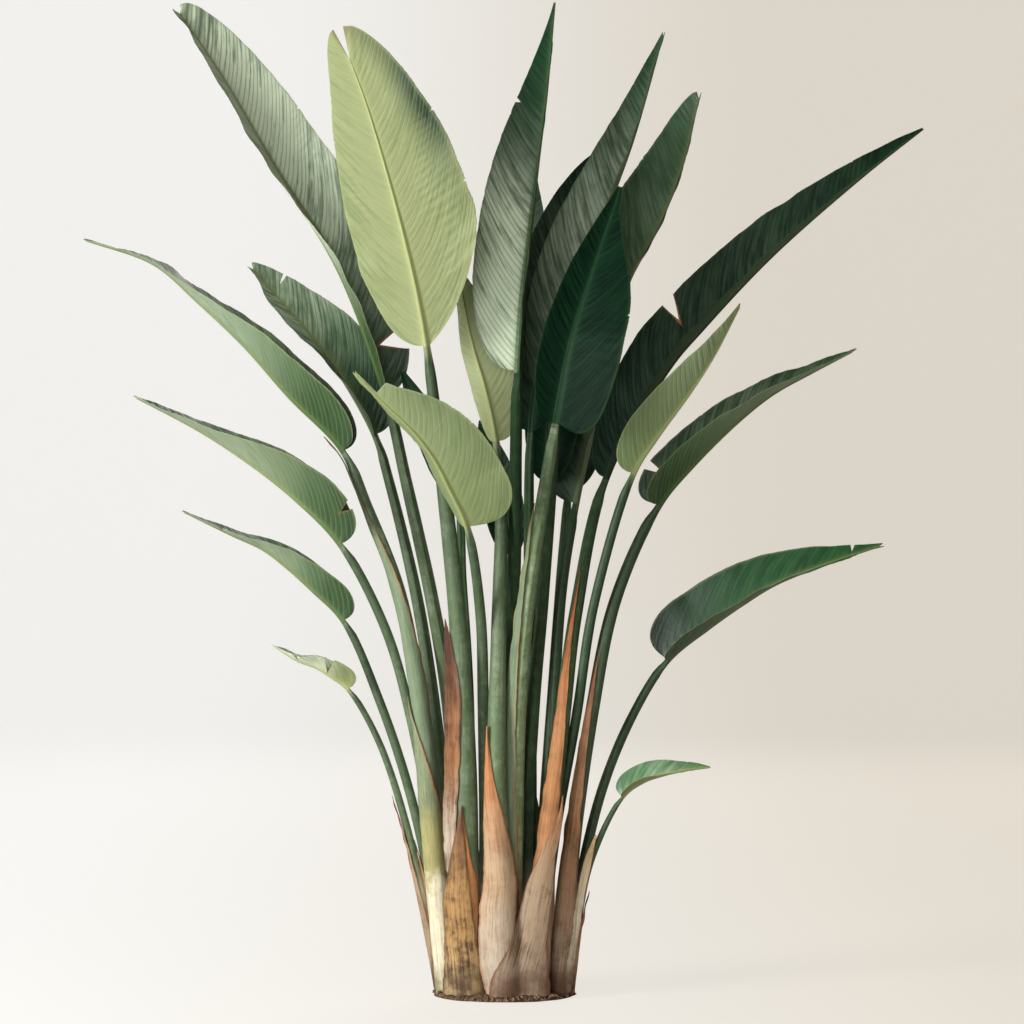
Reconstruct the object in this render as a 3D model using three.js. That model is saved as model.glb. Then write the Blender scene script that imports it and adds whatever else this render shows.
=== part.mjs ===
// A clump of bird of paradise (Strelitzia), about 2 m tall, standing upright on its own cut root crown.
// Every leaf is one grown piece: a clasping stalk that swells into a sheath at its foot, a keeled midrib and
// a blade of two halves folded up from the midrib like a shallow V. Dried sheaths of older leaves still hug
// the feet of several stalks. All of it stands on one flat root crown.
// Millimetres. +Z is up, +X is to the right and -Y is towards the viewer. The origin is the middle of the
// underside of the crown.
import * as THREE from "three";

// ---------------------------------------------------------------- driving dimensions
const CROWN_RADIUS = 141; // the clump is 280 mm across where it stands
const CROWN_HEIGHT = 14;
const CROWN_RAGGED = 3; // how far the cut roots roughen the crown's rim
const SEAT = 0.3; // clearance between a stalk's foot and the crown
const BLADE_THICK = 1.1; // the sheet of a blade
const RIB_AT_TIP = 1.3; // what is left of the midrib at the tip of a blade
const SHEATH_THICK = 2.2;
const SHEATH_CLEAR = 1.5; // between a dried sheath and the stalk that it hugs
const STALK_STATIONS = 9;
const SHEATH_STATIONS = 6;
const BLADE_STATIONS = 13;
const SECTION = 12; // points round a leaf's section, six on each face
const FLATTEN = 0.84; // a stalk is this much thinner from front to back than from side to side
const PEAK = 0.32; // where along a blade it is widest
const ROUND = 0.5; // how round its foot is: 1 is lens-shaped, less is rounder
const BLUNT = [0.85, 0.85]; // the same for the left and right halves towards the tip
const VEIN_LEAN = 0.4; // how far the side veins lean towards the tip, per unit of width
const LOBE_LEAN = [-0.12, -0.12]; // at the foot of a blade they lean back a little, into two round lobes


// ---------------------------------------------------------------- the leaves
// foot is the middle of the stalk where it stands, stalk the points that it passes, base where the blade
// starts, and blade the points of the midrib up to the tip. reach is the stalk's half width at its foot, at a
// third of its length and at the blade. half is the width of the blade's left and right halves and fold how
// far each is folded up, in degrees, as seen on the upper face with the tip up; open is the fold at the tip.
// face is where the upper face looks. curl bends a half further on its way to the margin. A tear is cut in from
// the margin of one side. point is how far the two points of a split tip stand out, and tip how far apart they
// are. peak, round, blunt and lobe shape one blade's outline where it differs from the rest.
const LEAVES = [
  {
    name: "leaf_left_high", foot: [-52, 92],
    stalk: [[-88, 92, 300], [-113, 86, 590], [-146, 68, 790], [-198, 50, 1030]],
    base: [-238, 36, 1204], blade: [[-330, 12, 1450], [-454, -6, 1650], [-566, -20, 1840], [-646, -30, 1958]],
    reach: [20, 17, 10], half: [64, 118], fold: [50, 32], open: [16, 16], curl: [10, 14],
    face: [0.75, -0.6, 0.3], round: 0.42, peak: 0.45, blunt: [0.8, 0.5],
    tears: [{ at: 0.11, side: 1, deep: 0.8, wide: 44 }], tip: 12, point: 16,
  },
  {
    name: "leaf_pale_tall", foot: [-72, -76],
    stalk: [[-76, -90, 200], [-76, -100, 470], [-92, -112, 760], [-116, -130, 990]],
    base: [-152, -160, 1292], blade: [[-180, -184, 1440], [-226, -214, 1620], [-270, -240, 1766], [-300, -256, 1846]],
    reach: [33, 22, 10], half: [146, 110], fold: [8, 8], open: [6, 6], curl: [-12, 10],
    face: [0.22, 0.95, 0.12], lobe: [0.8, 0.05], peak: 0.32, round: 0.42, blunt: [0.5, 0.56],
    tears: [], tip: 10, point: 62,
  },
  {
    name: "leaf_left_upper", foot: [-112, -22],
    stalk: [[-140, -34, 300], [-168, -42, 590], [-210, -40, 810], [-274, -30, 980]],
    base: [-320, -22, 1088], blade: [[-426, -14, 1196], [-516, -10, 1296], [-610, -6, 1384], [-700, -4, 1460], [-836, 0, 1508]],
    reach: [25, 21, 9], half: [78, 84], fold: [58, 52], open: [3, 6], curl: [10, 10],
    face: [0.66, -0.06, 0.74], peak: 0.2, round: 0.4, blunt: [0.9, 0.9],
    tears: [], tip: 4, point: 6,
  },
  {
    name: "leaf_left_inner", foot: [-70, 50],
    stalk: [[-112, 50, 330], [-148, 60, 620], [-178, 84, 800], [-234, 114, 1030]],
    base: [-262, 118, 1122], blade: [[-329, 112, 1240], [-373, 106, 1300], [-419, 100, 1354], [-508, 92, 1456]],
    reach: [18, 15, 9], half: [70, 92], fold: [44, 36], open: [10, 14], curl: [8, 12],
    face: [0.6, -0.62, 0.5], peak: 0.3, blunt: [0.8, 0.7],
    tears: [{ at: 0.84, side: 1, deep: 0.5, wide: 8 }], tip: 9, point: 12,
  },
  {
    name: "leaf_left_middle", foot: [-94, 20],
    stalk: [[-138, 8, 300], [-187, -6, 560], [-236, -24, 732]],
    base: [-324, -52, 902], blade: [[-408, -66, 988], [-486, -76, 1050], [-596, -86, 1122], [-726, -96, 1190]],
    reach: [15, 12, 9], half: [88, 80], fold: [60, 56], open: [8, 10], curl: [10, 10],
    face: [0.6, -0.05, 0.78], peak: 0.22, round: 0.4, blunt: [0.8, 0.8],
    tears: [{ at: 0.1, side: -1, deep: 0.35, wide: 14 }], tip: 3, point: 8,
  },
  {
    name: "leaf_left_lower", foot: [-114, 50],
    stalk: [[-148, 50, 220], [-192, 48, 410], [-248, 44, 580]],
    base: [-322, 38, 748], blade: [[-382, 32, 808], [-436, 28, 856], [-482, 24, 890], [-548, 20, 920], [-640, 14, 964]],
    reach: [15, 11, 8], half: [56, 54], fold: [62, 52], open: [6, 8], curl: [14, 10],
    face: [0.55, -0.08, 0.82], peak: 0.16, round: 0.36, blunt: [1, 0.9],
    tears: [{ at: 0.78, side: -1, deep: 0.6, wide: 12 }], tip: 3, point: 6,
  },
  {
    name: "leaf_left_small", foot: [-129, 14],
    stalk: [[-160, 0, 180], [-196, -18, 345], [-250, -36, 510]],
    base: [-310, -48, 614], blade: [[-342, -54, 638], [-372, -58, 656], [-410, -62, 670], [-458, -68, 700]],
    reach: [10, 9, 6], half: [46, 36], fold: [58, 40], open: [10, 10], curl: [6, 8],
    face: [0.35, -0.1, 0.92], peak: 0.22, round: 0.36, blunt: [0.8, 0.8],
    tears: [{ at: 0.3, side: -1, deep: 0.9, wide: 12 }, { at: 0.66, side: -1, deep: 0.8, wide: 8 }], tip: 2, point: 4,
  },
  {
    name: "leaf_pale_front", foot: [-34, -36],
    stalk: [[-36, -50, 300], [-41, -70, 580], [-46, -118, 760]],
    base: [-72, -206, 936], blade: [[-106, -238, 1012], [-136, -262, 1070], [-174, -284, 1120], [-228, -306, 1172], [-286, -326, 1232]],
    reach: [17, 13, 9], half: [112, 34], fold: [4, 30], open: [0, 30], curl: [6, 30],
    face: [0.2, 0.86, 0.46], peak: 0.16, round: 0.36, blunt: [1.05, 0.6], lobe: [-0.1, 0.1],
    tears: [], stop: { side: -1, at: 0.84 }, tip: 3, point: 4,
  },
  {
    name: "leaf_pale_inner", foot: [-2, -100],
    stalk: [[-8, -104, 200], [-15, -107, 440], [-10, -98, 740], [-6, -66, 960]],
    base: [-16, -44, 1106], blade: [[-36, -38, 1206], [-60, -30, 1290], [-78, -20, 1370], [-92, -8, 1450]],
    reach: [31, 20, 10], half: [64, 25], fold: [10, 12], open: [6, 8], curl: [0, 6],
    face: [0.1, 0.97, 0.1], tears: [], tip: 3, point: 2,
  },
  {
    name: "leaf_left_hidden", foot: [-66, -14],
    stalk: [[-68, -2, 330], [-72, 10, 620], [-84, 24, 830]],
    base: [-92, 30, 990], blade: [[-120, 34, 1070], [-156, 36, 1150], [-204, 40, 1246]],
    reach: [15, 13, 8], half: [40, 30], fold: [12, 14], open: [8, 8], curl: [6, 6],
    face: [0.25, -0.9, 0.3], tears: [], tip: 3, point: 2,
  },
  {
    name: "leaf_middle_low", foot: [-34, 30],
    stalk: [[-18, 40, 330], [0, 56, 620], [8, 66, 760]],
    base: [14, 76, 880], blade: [[2, 84, 970], [-18, 90, 1056], [-46, 96, 1150]],
    reach: [15, 11, 8], half: [44, 36], fold: [14, 16], open: [8, 8], curl: [6, 6],
    face: [0.1, -0.95, 0.2], tears: [], tip: 3, point: 2,
  },
  {
    name: "leaf_centre_tall", foot: [-12, -2],
    stalk: [[0, -14, 330], [12, -32, 640], [22, -50, 890], [24, -60, 1090]],
    base: [27, -72, 1246], blade: [[36, -84, 1390], [50, -92, 1510], [66, -98, 1650], [84, -104, 1790], [101, -108, 1970]],
    reach: [18, 15, 11], half: [100, 80], fold: [38, 42], open: [34, 42], curl: [12, 4],
    face: [-0.72, -0.68, 0.0], peak: 0.28, round: 0.44, blunt: [1.15, 1],
    tears: [{ at: 0.7, side: -1, deep: 0.16, wide: 10 }], tip: 2, point: 2,
  },
  {
    name: "leaf_centre_back", foot: [2, 50],
    stalk: [[18, 66, 330], [46, 90, 640], [72, 108, 860]],
    base: [86, 120, 1030], blade: [[90, 136, 1140], [88, 152, 1250], [84, 170, 1350]],
    reach: [17, 14, 9], half: [46, 60], fold: [16, 14], open: [10, 10], curl: [8, 8],
    face: [-0.1, -0.95, 0.2], tears: [], tip: 3, point: 2,
  },
  {
    name: "leaf_right_tall", foot: [38, 14],
    stalk: [[44, 14, 300], [58, 12, 560], [78, 8, 790], [94, 4, 1000]],
    base: [106, 0, 1180], blade: [[128, -4, 1330], [164, -6, 1460], [210, -8, 1580], [258, -10, 1710], [318, -14, 1916]],
    reach: [18, 14, 10], half: [92, 60], fold: [38, 46], open: [30, 40], curl: [10, 4],
    face: [-0.78, -0.6, 0.15], peak: 0.3, blunt: [1, 0.9],
    tears: [], tip: 3, point: 8,
  },
  {
    name: "leaf_dark_front", foot: [16, -40],
    stalk: [[16, -58, 250], [23, -80, 540], [42, -118, 760], [72, -156, 960]],
    base: [102, -186, 1140], blade: [[130, -192, 1290], [156, -178, 1380], [188, -152, 1480], [230, -112, 1606]],
    reach: [23, 22, 11], half: [56, 112], fold: [34, 14], open: [30, 10], curl: [10, -8],
    face: [-0.3, -0.88, 0.3], peak: 0.26, round: 0.4, blunt: [0.9, 1.5], lobe: [-0.2, -0.45],
    tears: [], tip: 3, point: 2,
  },
  {
    name: "leaf_right_back", foot: [84, 14],
    stalk: [[90, 40, 330], [102, 84, 620], [118, 112, 820]],
    base: [146, 134, 984], blade: [[176, 144, 1120], [212, 148, 1290], [252, 148, 1430], [316, 142, 1550], [366, 138, 1680], [396, 136, 1806]],
    reach: [18, 14, 10], half: [136, 44], fold: [30, 50], open: [20, 40], curl: [12, 6],
    face: [-0.66, -0.7, 0.2], peak: 0.3, blunt: [0.62, 0.8],
    tears: [], tip: 7, point: 12,
  },
  {
    name: "leaf_behind_centre", foot: [50, 52],
    stalk: [[52, 56, 360], [52, 60, 660], [50, 62, 900]],
    base: [54, 66, 1130], blade: [[74, 72, 1290], [110, 84, 1440], [148, 94, 1570], [194, 104, 1690]],
    reach: [17, 14, 9], half: [84, 56], fold: [20, 24], open: [10, 12], curl: [8, 8],
    face: [-0.25, -0.93, 0.15], blunt: [0.6, 0.8], tears: [], tip: 3, point: 2,
  },
  {
    name: "leaf_right_long", foot: [62, -84],
    stalk: [[80, -84, 250], [112, -76, 520], [144, -46, 770]],
    base: [204, -8, 1034], blade: [[330, 18, 1254], [400, 26, 1336], [538, 34, 1480], [722, 40, 1640], [842, 42, 1734]],
    reach: [25, 18, 10], half: [92, 66], fold: [36, 50], open: [22, 44], curl: [8, 6],
    face: [-0.62, -0.6, 0.5], peak: 0.32, blunt: [0.85, 0.9],
    tears: [{ at: 0.34, side: -1, deep: 0.5, wide: 26 }], tip: 3, point: 2,
  },
  {
    name: "leaf_right_pale", foot: [62, -28],
    stalk: [[98, -38, 300], [144, -52, 560], [178, -74, 780]],
    base: [254, -122, 1042], blade: [[296, -136, 1108], [366, -150, 1202], [412, -158, 1272], [462, -164, 1366]],
    reach: [18, 11, 9], half: [56, 64], fold: [50, 58], open: [30, 40], curl: [6, 16],
    face: [-0.76, 0.16, 0.5], peak: 0.22, round: 0.4, blunt: [0.9, 1],
    tears: [], tip: 4, point: 8,
  },
  {
    name: "leaf_right_upper", foot: [106, -42],
    stalk: [[136, -48, 300], [174, -50, 560], [222, -44, 790]],
    base: [308, -34, 980], blade: [[372, -30, 1056], [470, -26, 1150], [538, -24, 1202], [616, -22, 1244], [694, -20, 1284]],
    reach: [24, 16, 10], half: [68, 66], fold: [50, 58], open: [16, 22], curl: [8, 12],
    face: [-0.66, -0.3, 0.68], peak: 0.16, round: 0.36, blunt: [0.9, 0.9], lobe: [-0.4, -0.4],
    tears: [{ at: 0.12, side: -1, deep: 0.6, wide: 14 }], tip: 7, point: 12,
  },
  {
    name: "leaf_right_middle", foot: [120, 30],
    stalk: [[152, 32, 220], [198, 34, 410], [260, 28, 560]],
    base: [328, 22, 668], blade: [[410, 14, 734], [476, 8, 780], [542, 4, 820], [632, 0, 856], [750, -4, 896]],
    reach: [15, 11, 8], half: [86, 60], fold: [40, 46], open: [18, 24], curl: [8, 10],
    face: [-0.5, -0.5, 0.72], peak: 0.16, round: 0.3, blunt: [0.9, 0.9], lobe: [-0.1, -0.1],
    tears: [{ at: 0.88, side: -1, deep: 0.6, wide: 8 }], tip: 4, point: 10,
  },
  {
    name: "leaf_right_small", foot: [130, -2],
    stalk: [[148, -12, 150], [174, -24, 270]],
    base: [236, -44, 398], blade: [[276, -50, 428], [316, -56, 442], [362, -62, 452], [408, -66, 458]],
    reach: [10, 8, 5], half: [38, 30], fold: [44, 40], open: [16, 16], curl: [6, 6],
    face: [-0.3, -0.35, 0.88], peak: 0.22, round: 0.36, tears: [], tip: 2, point: 2,
  },
  {
    name: "leaf_back_right", foot: [72, 88],
    stalk: [[84, 124, 330], [104, 186, 640], [118, 232, 840]],
    base: [132, 270, 1010], blade: [[140, 300, 1130], [146, 326, 1250], [150, 350, 1370], [152, 368, 1490]],
    reach: [19, 15, 9], half: [84, 84], fold: [24, 24], open: [12, 12], curl: [10, 10],
    face: [0.0, -0.9, 0.35], tears: [], tip: 3, point: 3,
  },
  {
    name: "leaf_back_left", foot: [6, 108],
    stalk: [[8, 146, 330], [14, 202, 640], [20, 242, 940]],
    base: [26, 276, 1250], blade: [[30, 300, 1370], [36, 326, 1490], [44, 346, 1600], [54, 360, 1710]],
    reach: [19, 15, 9], half: [56, 56], fold: [22, 24], open: [12, 12], curl: [10, 10],
    face: [0.05, -0.92, 0.3], tears: [], tip: 3, point: 3,
  },
];

// ---------------------------------------------------------------- dried sheaths
// on is the leaf that a sheath hugs, to how far up its stalk it reaches in mm, wrap how far round the
// stalk it goes at its foot in degrees either way, and look the way that its middle faces.
const SHEATHS = [
  { name: "sheath_centre", on: "leaf_pale_inner", to: 520, wrap: 118, look: [-0.25, -1] },
  { name: "sheath_mottled", on: "leaf_pale_tall", to: 380, wrap: 120, look: [-0.2, -1] },
  { name: "sheath_brown_tall", on: "leaf_left_hidden", to: 690, wrap: 110, look: [0.2, -1] },
  { name: "sheath_orange", on: "leaf_right_long", to: 860, wrap: 112, look: [-0.35, -1] },
  { name: "sheath_rust", on: "leaf_right_upper", to: 700, wrap: 116, look: [-0.5, -1] },
  { name: "sheath_left_edge", on: "leaf_left_lower", to: 300, wrap: 120, look: [-1, -0.5] },
  { name: "sheath_left_small", on: "leaf_left_small", to: 400, wrap: 120, look: [-1, -0.5] },
  { name: "sheath_right_small", on: "leaf_right_small", to: 200, wrap: 115, look: [1, -0.4] },
  { name: "sheath_dark_front", on: "leaf_dark_front", to: 980, wrap: 100, look: [-0.8, -0.6] },
  { name: "sheath_back", on: "leaf_back_left", to: 420, wrap: 118, look: [0.1, 1] },
  { name: "sheath_back_right", on: "leaf_back_right", to: 360, wrap: 118, look: [0.4, 1] },
  { name: "sheath_left_back", on: "leaf_left_high", to: 460, wrap: 118, look: [-0.6, 1] },
];
export { LEAVES, SHEATHS };

// ---------------------------------------------------------------- shape functions
const mix = (a, b, t) => a + (b - a) * t;
const radians = THREE.MathUtils.degToRad;

// The line that a leaf follows, with the share of its length at which the blade starts.
function spineOf(leaf) {
  const points = [[...leaf.foot, CROWN_HEIGHT + SEAT], ...leaf.stalk, leaf.base, ...leaf.blade];
  const curve = new THREE.CatmullRomCurve3(points.map((p) => new THREE.Vector3(...p)), false, "centripetal");
  const steps = 60 * (points.length - 1);
  curve.arcLengthDivisions = steps;
  const lengths = curve.getLengths(steps);
  const start = lengths[60 * (leaf.stalk.length + 1)] / lengths[steps];
  return { curve, start, length: lengths[steps] };
}

// Half width of the stalk: from its foot it falls to its middle value a third of the way up, then to its top one.
function stalkReach(leaf, share) {
  const [foot, middle, top] = leaf.reach;
  return share < 0.35 ? mix(foot, middle, share / 0.35) : mix(middle, top, (share - 0.35) / 0.65);
}

// Half thickness of the midrib along the blade.
const ribReach = (leaf, t) => RIB_AT_TIP + (leaf.reach[2] - RIB_AT_TIP) * (1 - t) ** 1.1;

// Width of one half of the blade: a blunt lens with its widest point at PEAK, less where it is torn.
function bladeHalf(leaf, side, t) {
  const full = leaf.half[side < 0 ? 0 : 1];
  const peak = leaf.peak ?? PEAK;
  const blunt = (leaf.blunt ?? BLUNT)[side < 0 ? 0 : 1];
  const rise = Math.sin((Math.PI / 2) * Math.min(t / peak, 1)) ** (leaf.round ?? ROUND);
  const fall = Math.max(Math.cos((Math.PI / 2) * Math.max((t - peak) / (1 - peak), 0)), 0) ** blunt;
  let width = full * rise * fall + leaf.tip * t ** 8;
  if (leaf.stop && leaf.stop.side === side && t > leaf.stop.at) width = leaf.tip;
  for (const tear of leaf.tears) {
    if (tear.side === side && Math.abs(t - tear.at) < 1e-6) width *= 1 - tear.deep;
  }
  return Math.max(width, 1);
}

// Where along the blade it is cut into sections: close together at its ends, and three at every tear.
function bladeStations(leaf, bladeLength) {
  const stations = [];
  for (let i = 0; i < BLADE_STATIONS; i++) {
    const x = i / (BLADE_STATIONS - 1);
    stations.push(0.5 - 0.5 * Math.cos(Math.PI * (0.12 + 0.88 * x)) - (0.5 - 0.5 * Math.cos(Math.PI * 0.12)) * (1 - x));
  }
  const cuts = [...leaf.tears.map((tear) => [tear.at, tear.wide / bladeLength / 2])];
  if (leaf.stop) cuts.push([leaf.stop.at, 1 / bladeLength]);
  for (const [at, reach] of cuts) {
    for (let i = stations.length - 2; i > 0; i--) {
      if (Math.abs(stations[i] - at) < reach + 0.03) stations.splice(i, 1);
    }
    stations.push(at - reach, at, at + reach);
  }
  return stations.sort((a, b) => a - b);
}

// How far one half is folded up: it eases from its value at the foot of the blade to the one at its tip.
function foldAt(leaf, side, t) {
  const index = side < 0 ? 0 : 1;
  return mix(leaf.fold[index], leaf.open[index], THREE.MathUtils.smoothstep(t, 0, 0.8));
}

// A closed skin over rings of points that all have the same even count, upper face first, then the lower face
// back. Both faces are split into triangles alike.
function skin(rings) {
  const count = rings[0].length;
  const half = count / 2;
  const index = [];
  for (let i = 0; i + 1 < rings.length; i++) {
    for (let j = 0; j < count; j++) {
      const k = (j + 1) % count;
      const [a, b, c, d] = [i * count + j, i * count + k, (i + 1) * count + k, (i + 1) * count + j];
      if (j < half) index.push(a, b, c, a, c, d);
      else index.push(a, b, d, b, c, d);
    }
  }
  const last = (rings.length - 1) * count;
  for (let j = 0; j + 1 < half; j++) {
    const [a, b, c, d] = [j, j + 1, count - 2 - j, count - 1 - j];
    index.push(a, c, b, a, d, c);
    index.push(last + a, last + b, last + c, last + a, last + c, last + d);
  }
  const geometry = new THREE.BufferGeometry().setFromPoints(rings.flat());
  geometry.setIndex(index);
  if (signedVolume(geometry) < 0) geometry.setIndex(index.reverse());
  geometry.computeVertexNormals();
  return geometry;
}

function signedVolume(geometry) {
  const at = geometry.getAttribute("position");
  const corner = (i) => new THREE.Vector3().fromBufferAttribute(at, i);
  const { array } = geometry.index;
  let sum = 0;
  for (let i = 0; i < array.length; i += 3) {
    sum += corner(array[i]).dot(corner(array[i + 1]).cross(corner(array[i + 2])));
  }
  return sum / 6;
}

// Tangent, side and upper directions of a leaf at a point of its spine.
function frameAt(leaf, curve, share, twist = 0) {
  const along = curve.getTangentAt(Math.min(share, 1));
  const up = new THREE.Vector3(...leaf.face);
  up.addScaledVector(along, -up.dot(along)).normalize();
  if (twist) up.applyAxisAngle(along, radians(twist));
  return { along, up, side: along.clone().cross(up) };
}

// One leaf, from the foot of its stalk to the tip of its blade.
function leafGeometry(leaf) {
  const { curve, start, length } = spineOf(leaf);
  const rings = [];
  for (let i = 0; i < STALK_STATIONS; i++) {
    const share = i / (STALK_STATIONS - 1);
    const along = share * start * (1 - 14 / length);
    rings.push(stalkRing(leaf, curve, along, stalkReach(leaf, share), i === 0));
  }
  for (const t of bladeStations(leaf, length * (1 - start))) {
    rings.push(bladeRing(leaf, curve, start, t));
  }
  return skin(rings);
}

// The stalk's section is an ellipse. The foot is cut level.
function stalkRing(leaf, curve, share, reach, level) {
  const centre = curve.getPointAt(share);
  const { up, side } = frameAt(leaf, curve, share);
  const flat = mix(FLATTEN, 1, Math.min(share * 2, 1));
  const ring = [];
  for (let j = 0; j < SECTION; j++) {
    const angle = Math.PI * (1 - (j + 0.5) / (SECTION / 2));
    const point = centre.clone().addScaledVector(side, reach * Math.cos(angle));
    point.addScaledVector(up, reach * flat * Math.sin(angle));
    if (level) point.z = CROWN_HEIGHT + SEAT;
    ring.push(point);
  }
  return ring;
}

// The blade's section: a keeled midrib with a thin half on either side.
function bladeRing(leaf, curve, start, t) {
  const centre = curve.getPointAt(mix(start, 1, t));
  const twist = (leaf.twist ?? 0) * (t - 0.4);
  const { along, up, side } = frameAt(leaf, curve, mix(start, 1, t), twist);
  const rib = ribReach(leaf, t);
  const lobe = leaf.lobe ?? LOBE_LEAN;
  const point = leaf.point * t ** 6;
  const place = (b, n, forward) =>
    centre.clone().addScaledVector(side, b).addScaledVector(up, n).addScaledVector(along, forward);
  // A point of one half, q of the way to its margin, on the upper face (+1) or the lower one (-1).
  const wing = (handed, q, face) => {
    const width = bladeHalf(leaf, handed, t);
    const fold = radians(foldAt(leaf, handed, t));
    const lean = mix(lobe[handed < 0 ? 0 : 1], VEIN_LEAN, THREE.MathUtils.smoothstep(t, 0, 0.4)) * (1 - t ** 6);
    const curl = radians(leaf.curl[handed < 0 ? 0 : 1]) || 1e-4;
    const bend = fold + curl * q;
    const out = (width * (Math.sin(bend) - Math.sin(fold))) / curl;
    const rise = (width * (Math.cos(fold) - Math.cos(bend))) / curl;
    const thick = (face * BLADE_THICK) / 2;
    const b = 0.62 * rib + out - thick * Math.sin(bend);
    const n = 0.15 * rib + rise + thick * Math.cos(bend);
    return place(handed * b, n, (width * lean + point) * q);
  };
  return [
    wing(-1, 1, 1), wing(-1, 0.5, 1), place(-0.45 * rib, 0.35 * rib + 0.4, 0),
    place(0.45 * rib, 0.35 * rib + 0.4, 0), wing(1, 0.5, 1), wing(1, 1, 1),
    wing(1, 1, -1), wing(1, 0.5, -1), place(0.5 * rib, -0.85 * rib, 0),
    place(-0.5 * rib, -0.85 * rib, 0), wing(-1, 0.5, -1), wing(-1, 1, -1),
  ];
}

// A dried sheath: a shell round the outer side of a stalk that narrows to a point.
function sheathGeometry(sheath, leaf) {
  const { curve, start, length } = spineOf(leaf);
  const spacing = (start * (1 - 14 / length)) / (STALK_STATIONS - 1);
  const steps = 8;
  const rings = [];
  // It has a section wherever its stalk has one, so that it lies evenly along it, and a few in between.
  const top = sheath.to / length;
  const shares = Array.from({ length: SHEATH_STATIONS }, (_, i) => (top * i) / (SHEATH_STATIONS - 1));
  for (let k = 1; k * spacing < top * 0.97; k++) shares.push(k * spacing);
  shares.sort((a, b) => a - b);
  const stations = shares.filter((share, i) => i === 0 || share - shares[i - 1] > 8 / length);
  for (const share of stations) {
    const rise = share / top;
    const below = Math.floor(share / spacing + 1e-9);
    const part = share / spacing - below;
    const centre = curve.getPointAt(below * spacing).lerp(curve.getPointAt((below + 1) * spacing), part);
    const { side, up } = frameAt(leaf, curve, share);
    const reach = mix(...[below, below + 1].map((i) => stalkReach(leaf, i / (STALK_STATIONS - 1))), part);
    const flat = mix(FLATTEN, 1, Math.min(share * 2, 1));
    const look = new THREE.Vector3(sheath.look[0], sheath.look[1], 0);
    const middle = Math.atan2(look.dot(up), look.dot(side));
    const wrap = radians(sheath.wrap) * Math.max(1 - rise, 0.03) ** 0.75;
    const sag = 1 / Math.cos(wrap / steps) - 1;
    const inner = [];
    const outer = [];
    for (let j = 0; j <= steps; j++) {
      const angle = middle + wrap * ((2 * j) / steps - 1);
      for (const [list, extra] of [[inner, 0], [outer, SHEATH_THICK]]) {
        const gap = SHEATH_CLEAR + reach * sag + extra;
        const point = centre.clone().addScaledVector(side, (reach + gap) * Math.cos(angle));
        point.addScaledVector(up, (reach * flat + gap) * Math.sin(angle));
        if (share === 0) point.z = CROWN_HEIGHT + SEAT;
        list.push(point);
      }
    }
    rings.push([...outer, ...inner.reverse()]);
  }
  return skin(rings);
}

// The root crown: a ragged disc, cut flat underneath.
function crownGeometry() {
  const points = [];
  const sides = 40;
  for (let i = 0; i < sides; i++) {
    const angle = (2 * Math.PI * i) / sides;
    const ragged = Math.sin(5 * angle + 0.6) + 0.6 * Math.sin(11 * angle + 2) + 0.4 * Math.cos(17 * angle);
    const radius = CROWN_RADIUS + (CROWN_RAGGED * ragged) / 2;
    points.push(new THREE.Vector2(radius * Math.cos(angle), radius * Math.sin(angle)));
  }
  return new THREE.ExtrudeGeometry(new THREE.Shape(points), { depth: CROWN_HEIGHT, bevelEnabled: false });
}

// ---------------------------------------------------------------- assembly
const COLOURS = {
  blade: new THREE.MeshStandardMaterial({ color: 0x2f5a35, roughness: 0.42, metalness: 0 }),
  pale: new THREE.MeshStandardMaterial({ color: 0x9db26c, roughness: 0.55, metalness: 0 }),
  sheath: new THREE.MeshStandardMaterial({ color: 0xa97a4c, roughness: 0.8, metalness: 0 }),
  crown: new THREE.MeshStandardMaterial({ color: 0x4b3a2a, roughness: 0.95, metalness: 0 }),
};

const plant = new THREE.Group();
function add(name, geometry, material) {
  const mesh = new THREE.Mesh(geometry, material);
  mesh.name = name;
  plant.add(mesh);
}

add("root_crown", crownGeometry(), COLOURS.crown);
for (const leaf of LEAVES) {
  add(leaf.name, leafGeometry(leaf), leaf.name.includes("pale") ? COLOURS.pale : COLOURS.blade);
}
for (const sheath of SHEATHS) {
  const leaf = LEAVES.find((each) => each.name === sheath.on);
  add(sheath.name, sheathGeometry(sheath, leaf), COLOURS.sheath);
}

export default plant;
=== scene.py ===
"""A clump of bird of paradise, about 2 m tall, standing upright on its own cut root crown.

Every leaf is one grown piece: a clasping stalk, a keeled midrib and a blade of two halves folded up
from it. Dried sheaths of older leaves hug the feet of the stalks, and all of it stands on a flat disc
of cut roots. Lengths in the tables are millimetres; finished meshes are metres, with +Z up, +X to the
right and -Y towards the viewer. The origin is the middle of the underside of the crown.
"""

from __future__ import annotations

import logging
import math
from dataclasses import dataclass
from enum import Enum

import bpy
import numpy as np
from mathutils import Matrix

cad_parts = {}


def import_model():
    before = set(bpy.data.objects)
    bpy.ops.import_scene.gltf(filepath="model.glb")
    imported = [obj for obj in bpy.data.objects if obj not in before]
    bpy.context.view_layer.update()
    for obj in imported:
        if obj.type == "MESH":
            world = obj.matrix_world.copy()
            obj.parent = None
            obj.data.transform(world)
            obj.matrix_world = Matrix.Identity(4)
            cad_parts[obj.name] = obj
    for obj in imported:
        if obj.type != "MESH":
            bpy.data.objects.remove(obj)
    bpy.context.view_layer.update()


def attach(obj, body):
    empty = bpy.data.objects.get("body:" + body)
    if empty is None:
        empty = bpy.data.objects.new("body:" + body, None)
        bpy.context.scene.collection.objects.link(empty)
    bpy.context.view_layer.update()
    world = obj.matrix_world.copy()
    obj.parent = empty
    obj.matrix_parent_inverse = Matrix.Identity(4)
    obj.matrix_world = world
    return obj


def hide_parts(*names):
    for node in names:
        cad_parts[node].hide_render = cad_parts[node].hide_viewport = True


log = logging.getLogger("clump")

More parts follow.
